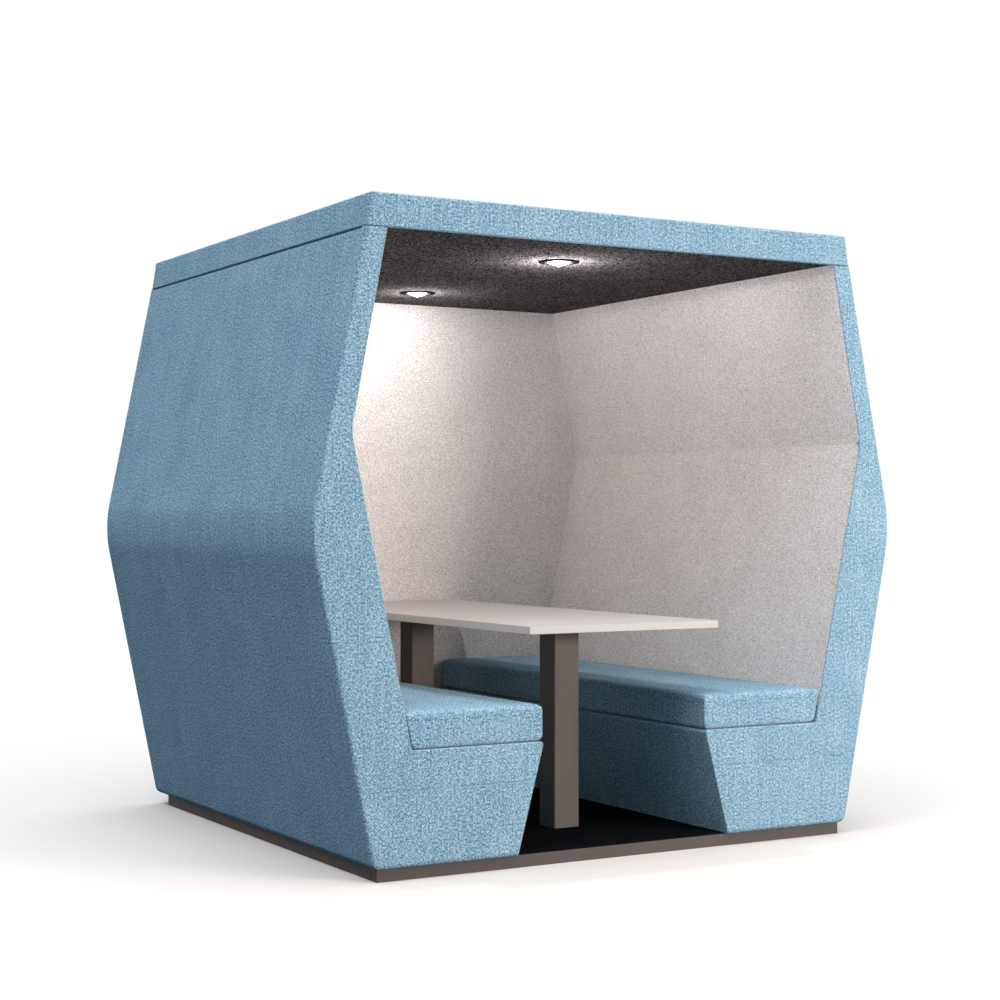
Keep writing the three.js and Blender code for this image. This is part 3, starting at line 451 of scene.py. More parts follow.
def woven_yarn():
    """Mixed yarns in a twill: two threads over and two under, each thread with its own drifting tint, and
    painted shade darkening the gaps between threads.
    """
    tree, given, put = new_group(
        "Woven yarn",
        [("Vector", "Vector", None), ("Threads", "Float", 400.0), ("Dark", "Color", None),
         ("Middle", "Color", None), ("Light", "Color", None), ("GapShade", "Float", 0.3),
         ("Contrast", "Float", 4.9)],
        [("Color", "Color"), ("Height", "Float")],
    )
    scaled = build(
        tree, "ShaderNodeVectorMath", {0: given["Vector"], "Scale": given["Threads"]}, operation="SCALE",
    ).outputs[0]
    axes = build(tree, "ShaderNodeSeparateXYZ", {0: scaled}).outputs
    heights = []
    for axis in axes[:2]:
        off_middle = calc(tree, "MULTIPLY_ADD", calc(tree, "FRACT", axis), 2.0, -1.0)
        heights.append(calc(tree, "SUBTRACT", 1.0, calc(tree, "MULTIPLY", off_middle, off_middle)))
    cells = calc(tree, "ADD", calc(tree, "FLOOR", axes[0]), calc(tree, "FLOOR", axes[1]))
    over = calc(tree, "GREATER_THAN", calc(tree, "FLOORED_MODULO", cells, 4.0), 1.5)
    height = mix_value(tree, over, heights[1], heights[0])
    warp = noise(tree, stretch(tree, scaled, (0.45, 0.02, 1.0)), 1.0, 2.0, 0.6)
    weft = noise(tree, stretch(tree, scaled, (0.02, 0.45, 1.0)), 1.0, 2.0, 0.6)
    grain = noise(tree, scaled, 0.36, 3.0, 0.8)
    column = noise(tree, stretch(tree, scaled, (0.09, 0.004, 1.0)), 1.0, 1.0, 0.5)
    slub = noise(tree, scaled, 0.012, 2.0, 0.5)
    thread = mix_value(tree, over, weft, warp)
    tint = calc(tree, "MULTIPLY", calc(tree, "SUBTRACT", over, 0.5), 0.05)
    for part, share in ((grain, 0.74), (thread, 0.08), (warp, 0.06), (column, 0.03), (slub, 0.05)):
        tint = calc(tree, "MULTIPLY_ADD", part, share, tint)
    spread = calc(tree, "MULTIPLY_ADD", calc(tree, "SUBTRACT", tint, 0.5), given["Contrast"], 0.5)
    lower = build(tree, "ShaderNodeMapRange", {"Value": spread, 1: 0.0, 2: 0.5}).outputs[0]
    upper = build(tree, "ShaderNodeMapRange", {"Value": spread, 1: 0.5, 2: 1.0}).outputs[0]
    body = mix_colour(tree, upper, mix_colour(tree, lower, given["Dark"], given["Middle"]), given["Light"])
    # Painted shade: the colour is darkened where each thread falls away into the gap beside it.
    gap_shade = calc(tree, "MULTIPLY", given["GapShade"], calc(tree, "SUBTRACT", 1.0, height))
    depth = calc(tree, "SUBTRACT", 1.0, gap_shade)
    shade = build(tree, "ShaderNodeCombineColor", {0: depth, 1: depth, 2: depth}).outputs[0]
    tree.links.new(mix_colour(tree, 1.0, body, shade, "MULTIPLY"), put["Color"])
    tree.links.new(calc(tree, "MULTIPLY_ADD", grain, 0.4, height), put["Height"])
    return tree


def pressed_felt():
    """Pressed fibres: short speckles of three tints over slow clouds."""
    tree, given, put = new_group(
        "Pressed felt",
        [("Vector", "Vector", None), ("Fibre", "Float", 260.0), ("Dark", "Color", None),
         ("Middle", "Color", None), ("Light", "Color", None), ("Contrast", "Float", 2.6)],
        [("Color", "Color"), ("Height", "Float")],
    )
    fine = noise(tree, given["Vector"], given["Fibre"], 3.0, 0.75)
    cloud = noise(tree, given["Vector"], 6.0, 2.0, 0.5)
    tint = calc(tree, "MULTIPLY_ADD", fine, 0.96, calc(tree, "MULTIPLY", cloud, 0.04))
    spread = calc(tree, "MULTIPLY_ADD", calc(tree, "SUBTRACT", tint, 0.5), given["Contrast"], 0.5)
    lower = build(tree, "ShaderNodeMapRange", {"Value": spread, 1: 0.0, 2: 0.5}).outputs[0]
    upper = build(tree, "ShaderNodeMapRange", {"Value": spread, 1: 0.5, 2: 1.0}).outputs[0]
    body = mix_colour(tree, upper, mix_colour(tree, lower, given["Dark"], given["Middle"]), given["Light"])
    tree.links.new(body, put["Color"])
    tree.links.new(fine, put["Height"])
    return tree


def coated_skin():
    """A sprayed or laminated skin: faint mottling, fine peel and a lighter colour on sharp outward edges."""
    tree, given, put = new_group(
        "Coated skin",
        [("Vector", "Vector", None), ("Base", "Color", None), ("Rubbed", "Color", None),
         ("Peel", "Float", 900.0), ("Mottle", "Float", 0.08), ("Gloss", "Float", 0.45)],
        [("Color", "Color"), ("Roughness", "Float"), ("Height", "Float")],
    )
    peel = noise(tree, given["Vector"], given["Peel"], 2.0, 0.5)
    mottle = noise(tree, given["Vector"], 35.0, 4.0, 0.6)
    edge = build(tree, "ShaderNodeNewGeometry").outputs["Pointiness"]
    # Pointiness lightens the colour on sharp outward edges.
    edge_share = build(tree, "ShaderNodeMapRange", {"Value": edge, 1: 0.54, 2: 0.66, 3: 0.0, 4: 0.35}).outputs[0]
    drift = calc(tree, "MULTIPLY", calc(tree, "SUBTRACT", mottle, 0.5), given["Mottle"])
    light = calc(tree, "ADD", 1.0, calc(tree, "MULTIPLY", drift, 2.0))
    shade = build(tree, "ShaderNodeCombineColor", {0: light, 1: light, 2: light}).outputs[0]
    body = mix_colour(tree, 1.0, given["Base"], shade, "MULTIPLY")
    tree.links.new(mix_colour(tree, edge_share, body, given["Rubbed"]), put["Color"])
    tree.links.new(calc(tree, "ADD", given["Gloss"], drift), put["Roughness"])
    tree.links.new(peel, put["Height"])
    return tree


def sawn_grain():
    """Timber: long level fibres, with growth bands one above another."""
    tree, given, put = new_group(
        "Sawn grain",
        [("Vector", "Vector", None), ("Early", "Color", None), ("Late", "Color", None),
         ("Bands", "Float", 60.0)],
        [("Color", "Color"), ("Height", "Float")],
    )
    along = stretch(tree, given["Vector"], (0.06, 0.06, 1.0))
    warp = noise(tree, along, 30.0, 3.0, 0.6)
    bands = build(
        tree, "ShaderNodeTexWave",
        {"Vector": along, "Scale": given["Bands"], "Distortion": 4.0, "Detail": 2.0}, bands_direction="Z",
    ).outputs["Fac"]
    mixed = calc(tree, "MULTIPLY_ADD", warp, 0.5, calc(tree, "MULTIPLY", bands, 0.5))
    tree.links.new(mix_colour(tree, mixed, given["Early"], given["Late"]), put["Color"])
    tree.links.new(mixed, put["Height"])
    return tree


WOVEN = woven_yarn()
FELT = pressed_felt()
COATED = coated_skin()
GRAIN = sawn_grain()


def new_material(name):
    material = bpy.data.materials.new(name)
    material.use_nodes = True
    tree = material.node_tree
    shader = tree.nodes["Principled BSDF"]
    return material, tree, shader


def set_plain(shader, **values):
    for label, value in values.items():
        shader.inputs[label.replace("_", " ")].default_value = value


def effect(tree, group, vector, **values):
    """A shared effect placed in a material with its own values."""
    return build(tree, "ShaderNodeGroup", {"Vector": vector, **values}, node_tree=group).outputs


def raise_surface(tree, shader, height, strength, distance):
    bump = build(tree, "ShaderNodeBump", {"Height": height, "Strength": strength, "Distance": distance})
    tree.links.new(bump.outputs[0], shader.inputs["Normal"])


def place_of(tree):
    return build(tree, "ShaderNodeTexCoord").outputs["Object"]


def fabric(name, dark, middle, light):
    material, tree, shader = new_material(name)
    weave = build(tree, "ShaderNodeUVMap", uv_map="Weave").outputs[0]
    yarn = effect(tree, WOVEN, weave, Dark=dark, Middle=middle, Light=light)
    tree.links.new(yarn["Color"], shader.inputs["Base Color"])
    set_plain(shader, Roughness=0.95, Specular_IOR_Level=0.04, Sheen_Weight=0.02, Sheen_Roughness=0.5)
    raise_surface(tree, shader, yarn["Height"], 0.35, 0.0006)
    return material


def felt(name, dark, middle, light, fibre=260.0, contrast=2.6, lustre=0.08):
    material, tree, shader = new_material(name)
    fibres = effect(
        tree, FELT, place_of(tree), Dark=dark, Middle=middle, Light=light, Fibre=fibre, Contrast=contrast,
    )
    tree.links.new(fibres["Color"], shader.inputs["Base Color"])
    set_plain(shader, Roughness=0.95, Specular_IOR_Level=lustre, Sheen_Weight=lustre)
    raise_surface(tree, shader, fibres["Height"], 0.35, 0.0006)
    return material


def coating(name, base, edge_colour, metallic=0.0, gloss=0.45, shine=0.5, mottle=0.08, bump=0.12):
    material, tree, shader = new_material(name)
    skin = effect(tree, COATED, place_of(tree), Base=base, Rubbed=edge_colour, Mottle=mottle, Gloss=gloss)
    tree.links.new(skin["Color"], shader.inputs["Base Color"])
    tree.links.new(skin["Roughness"], shader.inputs["Roughness"])
    set_plain(shader, Metallic=metallic, Specular_IOR_Level=shine)
    raise_surface(tree, shader, skin["Height"], bump, 0.0003)
    return material


def timber(name, early, late, bands):
    material, tree, shader = new_material(name)
    grain = effect(tree, GRAIN, place_of(tree), Early=early, Late=late, Bands=bands)
    tree.links.new(grain["Color"], shader.inputs["Base Color"])
    set_plain(shader, Roughness=0.7)
    raise_surface(tree, shader, grain["Height"], 0.15, 0.0005)
    return material


def glowing(name, colour, strength):
    material, tree, shader = new_material(name)
    frost = noise(tree, place_of(tree), 500.0, 2.0, 0.5)
    tint = ramp(tree, frost, [(0.3, colour), (0.7, WHITE)])
    tree.links.new(tint, shader.inputs["Emission Color"])
    set_plain(shader, Base_Color=rgb(250, 250, 248), Roughness=0.35, Emission_Strength=strength)
    return material


BLUE = fabric("Blue mixed weave", rgb(74, 120, 148), rgb(148, 182, 199), rgb(214, 233, 240))
LINING_FELT = felt("Grey lining felt", rgb(162, 154, 151), rgb(220, 212, 209), rgb(252, 248, 246), 300.0, 6.0)
CEILING_FELT = felt(
    "Dark ceiling felt", rgb(11, 17, 33), rgb(57, 54, 54), rgb(124, 117, 115), 150.0, 7.0, lustre=0.0,
)
CARPET_PILE = felt(
    "Black carpet pile", rgb(6, 6, 7), rgb(15, 16, 17), rgb(36, 37, 39), fibre=420.0, lustre=0.0,
)
PLYWOOD = timber("Plywood", rgb(214, 184, 138), rgb(184, 148, 100), 90.0)
SOFTWOOD = timber("Softwood", rgb(222, 192, 148), rgb(196, 156, 106), 40.0)
PLINTH_PAINT = coating("Plinth paint", rgb(84, 75, 71), rgb(108, 99, 95), gloss=0.6, shine=0.2)
TABLE_BOARD = coating(
    "Table laminate", rgb(195, 187, 183), rgb(210, 203, 199), gloss=0.5, shine=0.2, mottle=0.05, bump=0.06,
)
LEG_PAINT = coating("Leg powder coat", rgb(88, 80, 76), rgb(114, 106, 102), gloss=0.55, shine=0.2)
# The trim and cone are their own dark paint, written darker still as painted shade to offset the two lamps
# just below the lens.
TRIM_PAINT_AND_SHADE = coating("Lamp trim paint", rgb(9, 9, 10), rgb(22, 22, 23), gloss=0.7, shine=0.0, bump=0.03)
CONE_PAINT_AND_SHADE = coating("Lamp cone", rgb(40, 39, 39), rgb(66, 65, 65), gloss=0.6, shine=0.0, bump=0.03)
REFLECTOR_METAL = coating("Lamp reflector", rgb(214, 214, 212), rgb(235, 235, 235), metallic=1.0, gloss=0.15)
LAMP_CASTING = coating("Lamp casting", rgb(166, 170, 174), rgb(196, 200, 203), metallic=0.9, gloss=0.45)
SPRING_STEEL = coating("Spring steel", rgb(180, 184, 188), rgb(210, 213, 216), metallic=1.0, gloss=0.3)
DRIVER_CASE = coating("Driver case", rgb(226, 224, 219), rgb(240, 239, 235), gloss=0.5)
LEAD_SHEATH = coating("Lead sheath", rgb(28, 28, 29), rgb(52, 52, 53), gloss=0.55)
FOOT_PLASTIC = coating("Foot plastic", rgb(32, 33, 34), rgb(60, 61, 62), gloss=0.6)
OPAL = glowing("Opal lens", rgb(255, 250, 240), 4.0)


# Upholstered pieces

def side_sleeve(name, side):
    """One fabric sleeve over a side shell: the L-shaped front end and the bent side behind it."""
    pad_top = ROOF_LOW - PAD_TOP_GAP
    lip = LIP + FIT
    bm = bmesh.new()
    outer = [outer_at(SHELL_BOTTOM), outer_bend(), outer_at(pad_top)]
    skin = [outer_at(pad_top, -COVER), outer_bend(-COVER), outer_at(SHELL_BOTTOM, -COVER)]
    inner = [
        inner_at(pad_top, lip), inner_bend(lip), inner_at(PAD_SHELF, lip),
        bench_at(PAD_SHELF), bench_at(SHELL_BOTTOM),
    ]
    strip = face_of(bm, outer + skin, FRONT, side)
    far = face_of(bm, skin[::-1] + inner, FRONT, side)
    bmesh.ops.remove_doubles(bm, verts=bm.verts, dist=MERGE)
    moved = carry(bm, [strip, far], Vector((0, PAD_BACK - FRONT, 0)))
    seam_edges = [e for e in strip.edges if e in far.edges[:]]
    bmesh.ops.dissolve_edges(bm, edges=seam_edges, use_verts=False)
    strip_back = [min(moved, key=lambda face: face.calc_area())]
    stepped = carry(bm, strip_back, Vector((0, STEP_RUN, 0)), closing=True)
    for vert in stepped[0].verts:
        if vert.co.z > COVER_TOP:
            lowered = outer_at(COVER_TOP, -COVER if abs(vert.co.x) < outer_at(pad_top).x - FIT else 0.0)
            vert.co.x, vert.co.z = side * lowered.x, lowered.y
    carry(bm, stepped, Vector((0, COVER_BACK - PAD_BACK - STEP_RUN, 0)), closing=True)
    tidy(bm)
    round_edges(bm, edges_along_y(bm, outer_bend(), side), KNUCKLE_RUN, KNUCKLE_STEPS)
    round_edges(bm, edges_along_y(bm, inner_bend(lip), side), INNER_KNUCKLE_RUN, CORNER_STEPS)
    round_edges(bm, edges_along_y(bm, outer_at(SHELL_BOTTOM), side), FOOT_RUN, CORNER_STEPS)
    round_edges(bm, edges_along_y(bm, inner_at(PAD_SHELF, lip), side), NOTCH_RUN, SMALL_STEPS)
    round_edges(bm, edges_along_y(bm, bench_at(PAD_SHELF), side), BENCH_CORNER_RUN, SMALL_STEPS)

    def weight_of(middle, edge):
        if all(abs(vert.co.y - COVER_BACK) < NEAR for vert in edge.verts):
            return REAR_SHARE if abs(middle.x) > outer_at(middle.z).x - COVER / 2 else 0.0
        if any(abs(vert.co.y - FRONT) > NEAR for vert in edge.verts):
            return 0.0
        if middle.z > pad_top - FIT:
            return TOP_SHARE
        outer_side = abs(middle.x) > outer_at(middle.z).x - COVER
        return 1.0 if outer_side or middle.z < SHELL_BOTTOM + FIT else INNER_SHARE

    weigh_edges(bm, weight_of)
    piece = mesh_object(f"{name}_side_sleeve", bm)
    soften(piece)
    seam = Vector((0, FRONT, FRONT_SEAM_HEIGHT))
    edit(piece, lambda bm: sew(
        bm, seam, Vector((0, 0, 1)), lambda co: co.y < FRONT + FIT, Vector((0, 1, 0))))
    lay_weave(piece)
    smooth_normals(piece)
    hand_over(piece, BLUE, [f"{name}_outer_cover", f"{name}_front_pad"])


def inner_lining(name, side):
    """A bent lining panel whose thin lip runs forward over the front end's inner side."""
    bm = bmesh.new()
    panel_front = PAD_BACK + FIT
    lip_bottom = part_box(f"{name}_seat_cushion")[0].z + LIP_CUT

    def skin(z, offset):
        return [inner_at(z, offset), inner_bend(offset), inner_at(LINING_HIGH, offset)]

    thin = face_of(bm, skin(LINING_LOW, 0.0) + skin(LINING_LOW, LIP)[::-1], panel_front, side)
    thick = face_of(bm, skin(LINING_LOW, LIP) + skin(LINING_LOW, LINING)[::-1], panel_front, side)
    bmesh.ops.remove_doubles(bm, verts=bm.verts, dist=MERGE)
    carry(bm, [thin, thick], Vector((0, BACK_FACE - FIT - panel_front, 0)))
    slice_plane(bm, Vector((0, 0, lip_bottom)), Vector((0, 0, 1)))
    tidy(bm)
    bm.normal_update()
    ahead = [
        face for face in bm.faces
        if abs(face.calc_center_median().y - panel_front) < NEAR
        and face.calc_center_median().z > lip_bottom
        and min(abs(v.co.x) - inner_at(v.co.z).x for v in face.verts) < FIT
    ]
    carry(bm, ahead, Vector((0, FRONT + LIP_SETBACK - panel_front, 0)), closing=True)
    for vert in bm.verts:
        if vert.co.y < panel_front - FIT and abs(vert.co.x) < inner_at(vert.co.z).x + FIT:
            vert.co.x += side * (LIP - FIT)
    tidy(bm)
    round_edges(bm, edges_along_y(bm, inner_bend(), side), LINING_CREASE, CREASE_STEPS)
    piece = mesh_object(f"{name}_lining_panel", bm)
    smooth_normals(piece, LINING_SMOOTH_ANGLE)
    hand_over(piece, LINING_FELT, [f"{name}_inner_lining"])


def bench_face(name, side):
    """The sloped, upholstered face of a bench: three widths of cloth with a raised welt between them."""
    bm = bmesh.new()
    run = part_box("right_bench_front")[1].x - BENCH_FOOT.x
    section = [
        bench_at(SHELL_BOTTOM), bench_at(SHELL_BOTTOM, run),
        bench_at(PAD_SHELF, run), bench_at(PAD_SHELF),
    ]
    start = PAD_BACK + FIT
    face = face_of(bm, section, start, side)
    carry(bm, [face], Vector((0, BACK_FACE - FIT - start, 0)))
    tidy(bm)
    round_edges(bm, edges_along_y(bm, bench_at(PAD_SHELF), side), BENCH_CORNER_RUN, CORNER_STEPS)
    slope = (bench_at(SHELL_BOTTOM) - bench_at(PAD_SHELF)).normalized()
    outward = Vector((-side * abs(slope.y), 0, -abs(slope.x))).normalized()
    for y in (-SEAM_OFFSET, SEAM_OFFSET):
        sew(
            bm, Vector((0, y, 0)), Vector((0, 1, 0)),
            lambda co: abs(co.x) < bench_at(co.z).x + FIT, outward, BENCH_WELT, BENCH_WELT,
        )
    piece = mesh_object(f"{name}_bench_face", bm)
    lay_weave(piece)
    smooth_normals(piece)
    hand_over(piece, BLUE, [f"{name}_bench_front"])


def swell(piece):
    """Fills a cushion: cloth under pressure, with every point's movement capped."""
    remesh = piece.modifiers.new("Even mesh", "REMESH")
    remesh.mode = "VOXEL"
    remesh.voxel_size = CUSHION_VOXEL
    bake_modifiers(piece)
    start = np.array([vert.co for vert in piece.data.vertices])
    cloth = piece.modifiers.new("Filling", "CLOTH")
    cloth.settings.quality = CUSHION_QUALITY
    cloth.settings.use_pressure = True
    cloth.settings.uniform_pressure_force = CUSHION_PRESSURE
    cloth.settings.effector_weights.gravity = 0.0
    scene = bpy.context.scene
    for number in range(1, CUSHION_FRAMES + 1):
        scene.frame_set(number)
    bake_modifiers(piece)
    scene.frame_set(1)
    moved = np.array([vert.co for vert in piece.data.vertices]) - start
    length = np.linalg.norm(moved, axis=1, keepdims=True)
    moved *= np.minimum(1.0, CUSHION_CAP / np.maximum(length, MERGE))
    piece.data.vertices.foreach_set("co", (start + moved).astype(np.float32).ravel())
    piece.data.update()
    finer = piece.modifiers.new("Finer mesh", "SUBSURF")
    finer.levels = finer.render_levels = 1
    bake_modifiers(piece)


def seat_cushion(name, side):
    """A box cushion, filled by simulation, flat where it lies and sewn round below its top."""
    low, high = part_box(f"{name}_seat_cushion")
    near = min(abs(low.x), abs(high.x)) + CUSHION_SLACK
    bottom, top = low.z + FIT, high.z - CUSHION_SLACK - CUSHION_CROWN
    bm = bmesh.new()
    section = [
        Vector((near, bottom)), Vector((inner_at(bottom).x + CUSHION_PRESS, bottom)),
        Vector((inner_at(top).x + CUSHION_PRESS, top)), Vector((near, top)),
    ]
    start, end = low.y + CUSHION_SLACK, high.y - CUSHION_SLACK
    face = face_of(bm, section, start, side)
    carry(bm, [face], Vector((0, end - start, 0)))
    tidy(bm)
    weigh_edges(bm, lambda middle, edge: CUSHION_LOW_EDGE / CUSHION_EDGE if middle.z < bottom + FIT else 1.0)
    piece = mesh_object(f"{name}_cushion", bm)
    soften(piece, CUSHION_EDGE, SMALL_STEPS)
    swell(piece)
    places = np.array([vert.co for vert in piece.data.vertices])
    limit = np.array([inner_at(z).x for z in places[:, 2]]) - CUSHION_WALL_GAP
    reach = np.clip(np.abs(places[:, 0]), min(abs(low.x), abs(high.x)), limit)
    places[:, 0] = side * reach
    places[:, 1] = np.clip(places[:, 1], low.y, high.y)
    places[:, 2] = np.clip(places[:, 2], bottom, high.z + CUSHION_PROUD)
    piece.data.vertices.foreach_set("co", places.astype(np.float32).ravel())
    piece.data.update()
    seam = high.z - CUSHION_SEAM_DROP

    def sew_round(bm):
        for offset in (-SEAM_WIDTH, 0.0, SEAM_WIDTH):
            slice_plane(bm, Vector((0, 0, seam + offset)), Vector((0, 0, 1)))
        bm.normal_update()
        for vert in [v for v in bm.verts if abs(v.co.z - seam) < NEAR]:
            vert.co -= Vector((vert.normal.x, vert.normal.y, 0)).normalized() * SEAM_DEPTH

    edit(piece, sew_round)
    lay_weave(piece)
    piece.data.shade_smooth()
    hand_over(piece, BLUE, [f"{name}_seat_cushion"], body=f"{name}_cushion")


def shell_half(inset, low, high):
    return [outer_at(low, -inset), outer_bend(-inset), outer_at(high, -inset)]


def whole_section(half):
    return half + [Vector((-point.x, point.y)) for point in reversed(half)]


def back_cover():
    """The upholstered tray over the back of the pod, sewn from three widths of cloth."""
    bm = bmesh.new()
    top = ROOF_LOW - FIT
    outside = face_of(bm, whole_section(shell_half(0.0, SHELL_BOTTOM, top)), COVER_BACK + FIT)
    carry(bm, [outside], Vector((0, BACK - COVER_BACK - FIT, 0)))
    tidy(bm)
    bm.faces.ensure_lookup_table()
    front_face = min(bm.faces, key=lambda face: face.calc_center_median().y)
    bmesh.ops.inset_individual(bm, faces=[front_face], thickness=BACK_TRAY_WALL, use_even_offset=True)
    carry(bm, [front_face], Vector((0, BACK - COVER_BACK - BACK_TRAY_WALL, 0)), closing=True)
    tidy(bm)
    for side in (-1, 1):
        round_edges(bm, edges_along_y(bm, outer_bend(), side), KNUCKLE_RUN, KNUCKLE_STEPS)
        round_edges(bm, edges_along_y(bm, outer_at(SHELL_BOTTOM), side), FOOT_RUN, CORNER_STEPS)

    def weight_of(middle, edge):
        if all(abs(vert.co.y - BACK) < NEAR for vert in edge.verts):
            return 1.0
        at_joint = all(abs(vert.co.y - COVER_BACK - FIT) < NEAR for vert in edge.verts)
        return JOINT_SHARE if at_joint and abs(middle.x) > outer_at(middle.z).x - EDGE_REACH else 0.0

    weigh_edges(bm, weight_of)
    piece = mesh_object("back_sleeve", bm)
    soften(piece, BACK_EDGE, SMALL_STEPS)
    for x in (-SEAM_OFFSET, SEAM_OFFSET):
        edit(piece, lambda bm: sew(
            bm, Vector((x, 0, 0)), Vector((1, 0, 0)), lambda co: co.y > BACK - FIT, Vector((0, -1, 0))))
    lay_weave(piece)
    smooth_normals(piece)
    hand_over(piece, BLUE, ["back_cover"])


def roof_cover():
    """The upholstered roof tray: soft edges all round, its sides in line with the walls."""
    low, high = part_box("roof_cover")
    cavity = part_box("roof_frame")[1].z + FIT
    bm = bmesh.new()
    bmesh.ops.create_cube(bm, size=1.0)
    for vert in bm.verts:
        upper = vert.co.z > 0
        vert.co.x = math.copysign(ROOF_TOP_HALF if upper else high.x, vert.co.x)
        vert.co.y = math.copysign(high.y, vert.co.y)
        vert.co.z = high.z if upper else low.z
    under = min(bm.faces, key=lambda face: face.calc_center_median().z)
    bmesh.ops.inset_individual(bm, faces=[under], thickness=ROOF_TRAY_WALL, use_even_offset=True)
    carry(bm, [under], Vector((0, 0, cavity - low.z)), closing=True)
    tidy(bm)

    def weight_of(middle, edge):
        if abs(middle.x) < ROOF_TOP_HALF - EDGE_REACH and abs(middle.y) < high.y - EDGE_REACH:
            return 0.0
        if middle.z < low.z + FIT:
            return INNER_SHARE if max(abs(middle.x) - high.x, abs(middle.y) - high.y) > -FIT else 0.0
        if cavity - FIT < middle.z < cavity + FIT:
            return 0.0
        if abs(middle.x) < ROOF_TOP_HALF - EDGE_REACH / 2 and middle.z < high.z - FIT:
            return 0.0
        return ROOF_TOP_SHARE if middle.z > high.z - FIT else 1.0

    weigh_edges(bm, weight_of)
    piece = mesh_object("roof_sleeve", bm)
    soften(piece)
    for x in (-SEAM_OFFSET, SEAM_OFFSET):
        edit(piece, lambda bm: sew(
            bm, Vector((x, 0, 0)), Vector((1, 0, 0)), lambda co: co.z > high.z - FIT, Vector((0, 0, -1))))
    lay_weave(piece)
    smooth_normals(piece)
    hand_over(piece, BLUE, ["roof_cover"])


def felt_board(node, material):
    """A pressed felt board: its solid with softened edges."""
    bm = bmesh.new()
    bm.from_mesh(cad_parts[node].data)
    tidy(bm)
    bmesh.ops.dissolve_limit(bm, angle_limit=FLAT_ANGLE, verts=bm.verts[:], edges=bm.edges[:])
    sharp = [e for e in bm.edges if len(e.link_faces) == 2 and e.calc_face_angle(0.0) > HARD_ANGLE]
    round_edges(bm, sharp, FELT_EDGE, EASED_STEPS)
    piece = mesh_object(f"{node}_board", bm)
    smooth_normals(piece)
    hand_over(piece, material, [node])


def carpet():
    """Loop carpet with a bound edge."""
    low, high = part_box("floor_carpet")
    bm = bmesh.new()
    bmesh.ops.create_cube(bm, size=1.0)
    for vert in bm.verts:
        for axis in range(3):
            vert.co[axis] = high[axis] if vert.co[axis] > 0 else low[axis]
    upper = [e for e in bm.edges if all(v.co.z > high.z - FIT for v in e.verts)]
    round_edges(bm, upper, CARPET_EDGE, CREASE_STEPS)
    piece = mesh_object("carpet", bm)
    smooth_normals(piece)
    hand_over(piece, CARPET_PILE, ["floor_carpet"])


# Lamps

def spun(name, profile, centre, closed):
    """A profile of radius and height, turned round an upright axis."""
    bm = bmesh.new()
    verts = [bm.verts.new(centre + Vector((radius, 0, z))) for radius, z in profile]
    edges = [bm.edges.new(pair) for pair in zip(verts, verts[1:])]
    if closed:
        edges.append(bm.edges.new((verts[-1], verts[0])))
    bmesh.ops.spin(
        bm, geom=verts + edges, cent=centre, axis=Vector((0, 0, 1)), dvec=Vector(),
        angle=2 * math.pi, steps=SPIN_STEPS, use_merge=True,
    )
    tidy(bm)
    return mesh_object(name, bm)


def downlight(name, side):
    """The seen pieces of a downlight: a dark ring with a grey cone, and a domed opal lens with a button."""
    centre = Vector((0, side * LAMP_Y, ROOF_LOW))
    ring = spun(f"{name}_lamp_ring", [
        (RING_RADIUS, -RING_GAP), (RING_RADIUS, RING_EASE - RING_RIM_DROP),
        (RING_RADIUS - RING_EASE, -RING_RIM_DROP), (RING_BAND, -RING_DROP), (RING_LIP, -RING_DROP),
        (CONE_RADIUS, CONE_RISE), (CONE_RADIUS, SLEEVE_HEIGHT),
        (SLEEVE_RADIUS, SLEEVE_HEIGHT), (SLEEVE_RADIUS, -RING_GAP),
    ], centre, True)
    smooth_normals(ring)
    # The ring and cone colours hold painted shade against the lamps just below the lens.
    hand_over(ring, TRIM_PAINT_AND_SHADE, [f"{name}_lamp_trim_ring"])
    ring.data.materials.append(CONE_PAINT_AND_SHADE)
    for face in ring.data.polygons:
        if Vector((face.center.x, face.center.y - centre.y)).length < RING_BAND:
            face.material_index = 1
    radii = [BUTTON_RADIUS * step for step in range(1, 6)] + [DOME_SHOULDER, DOME_RADIUS]
    dome = [(radius, -DOME_RIM_DROP - DOME_DEPTH * (1 - (radius / DOME_RADIUS) ** 2)) for radius in radii]
    turns = [math.pi / 2 * step / BUTTON_STEPS for step in range(BUTTON_STEPS)]
    button = [
        (BUTTON_RADIUS * math.sin(turn), -BUTTON_DROP - BUTTON_DEPTH * math.cos(turn)) for turn in turns
    ]
    upper = [(DOME_RADIUS, LENS_HEIGHT), (0.0, LENS_HEIGHT)]
    lens = spun(f"{name}_lamp_opal", button + dome + upper, centre, False)
    smooth_normals(lens)
    hand_over(lens, OPAL, [f"{name}_lamp_lens"])
    for kind, power in (("SPOT", LAMP_POWER[name]), ("POINT", GLOW_POWER[name])):
        lamp = bpy.data.lights.new(f"{name} lamp {kind.lower()}", kind)
        lamp.energy = power
        lamp.shadow_soft_size = LAMP_RADIUS
        lamp.color = LAMP_COLOUR
        lamp.specular_factor = LAMP_GLINT
        if kind == "SPOT":
            lamp.spot_size = math.pi
            lamp.spot_blend = 0.0
        holder = bpy.data.objects.new(lamp.name, lamp)
        holder.location = centre - Vector((0, 0, LAMP_DROP[kind]))
        holder.visible_camera = False
        bpy.context.scene.collection.objects.link(holder)


# Solids that keep their shape

def dress(node, material, edge):
    """Gives a solid a finish and slightly eased edges."""
    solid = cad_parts[node]
    weld = solid.modifiers.new("Weld", "WELD")
    weld.merge_threshold = NEAR
    if edge:
        ease = solid.modifiers.new("Eased edges", "BEVEL")
        ease.width = edge
        ease.segments = EASED_STEPS
        ease.limit_method = "ANGLE"
        ease.angle_limit = HARD_ANGLE
        ease.harden_normals = True
    if not solid.data.materials:
        solid.data.materials.append(material)
    solid.material_slots[0].link = "OBJECT"
    solid.material_slots[0].material = material


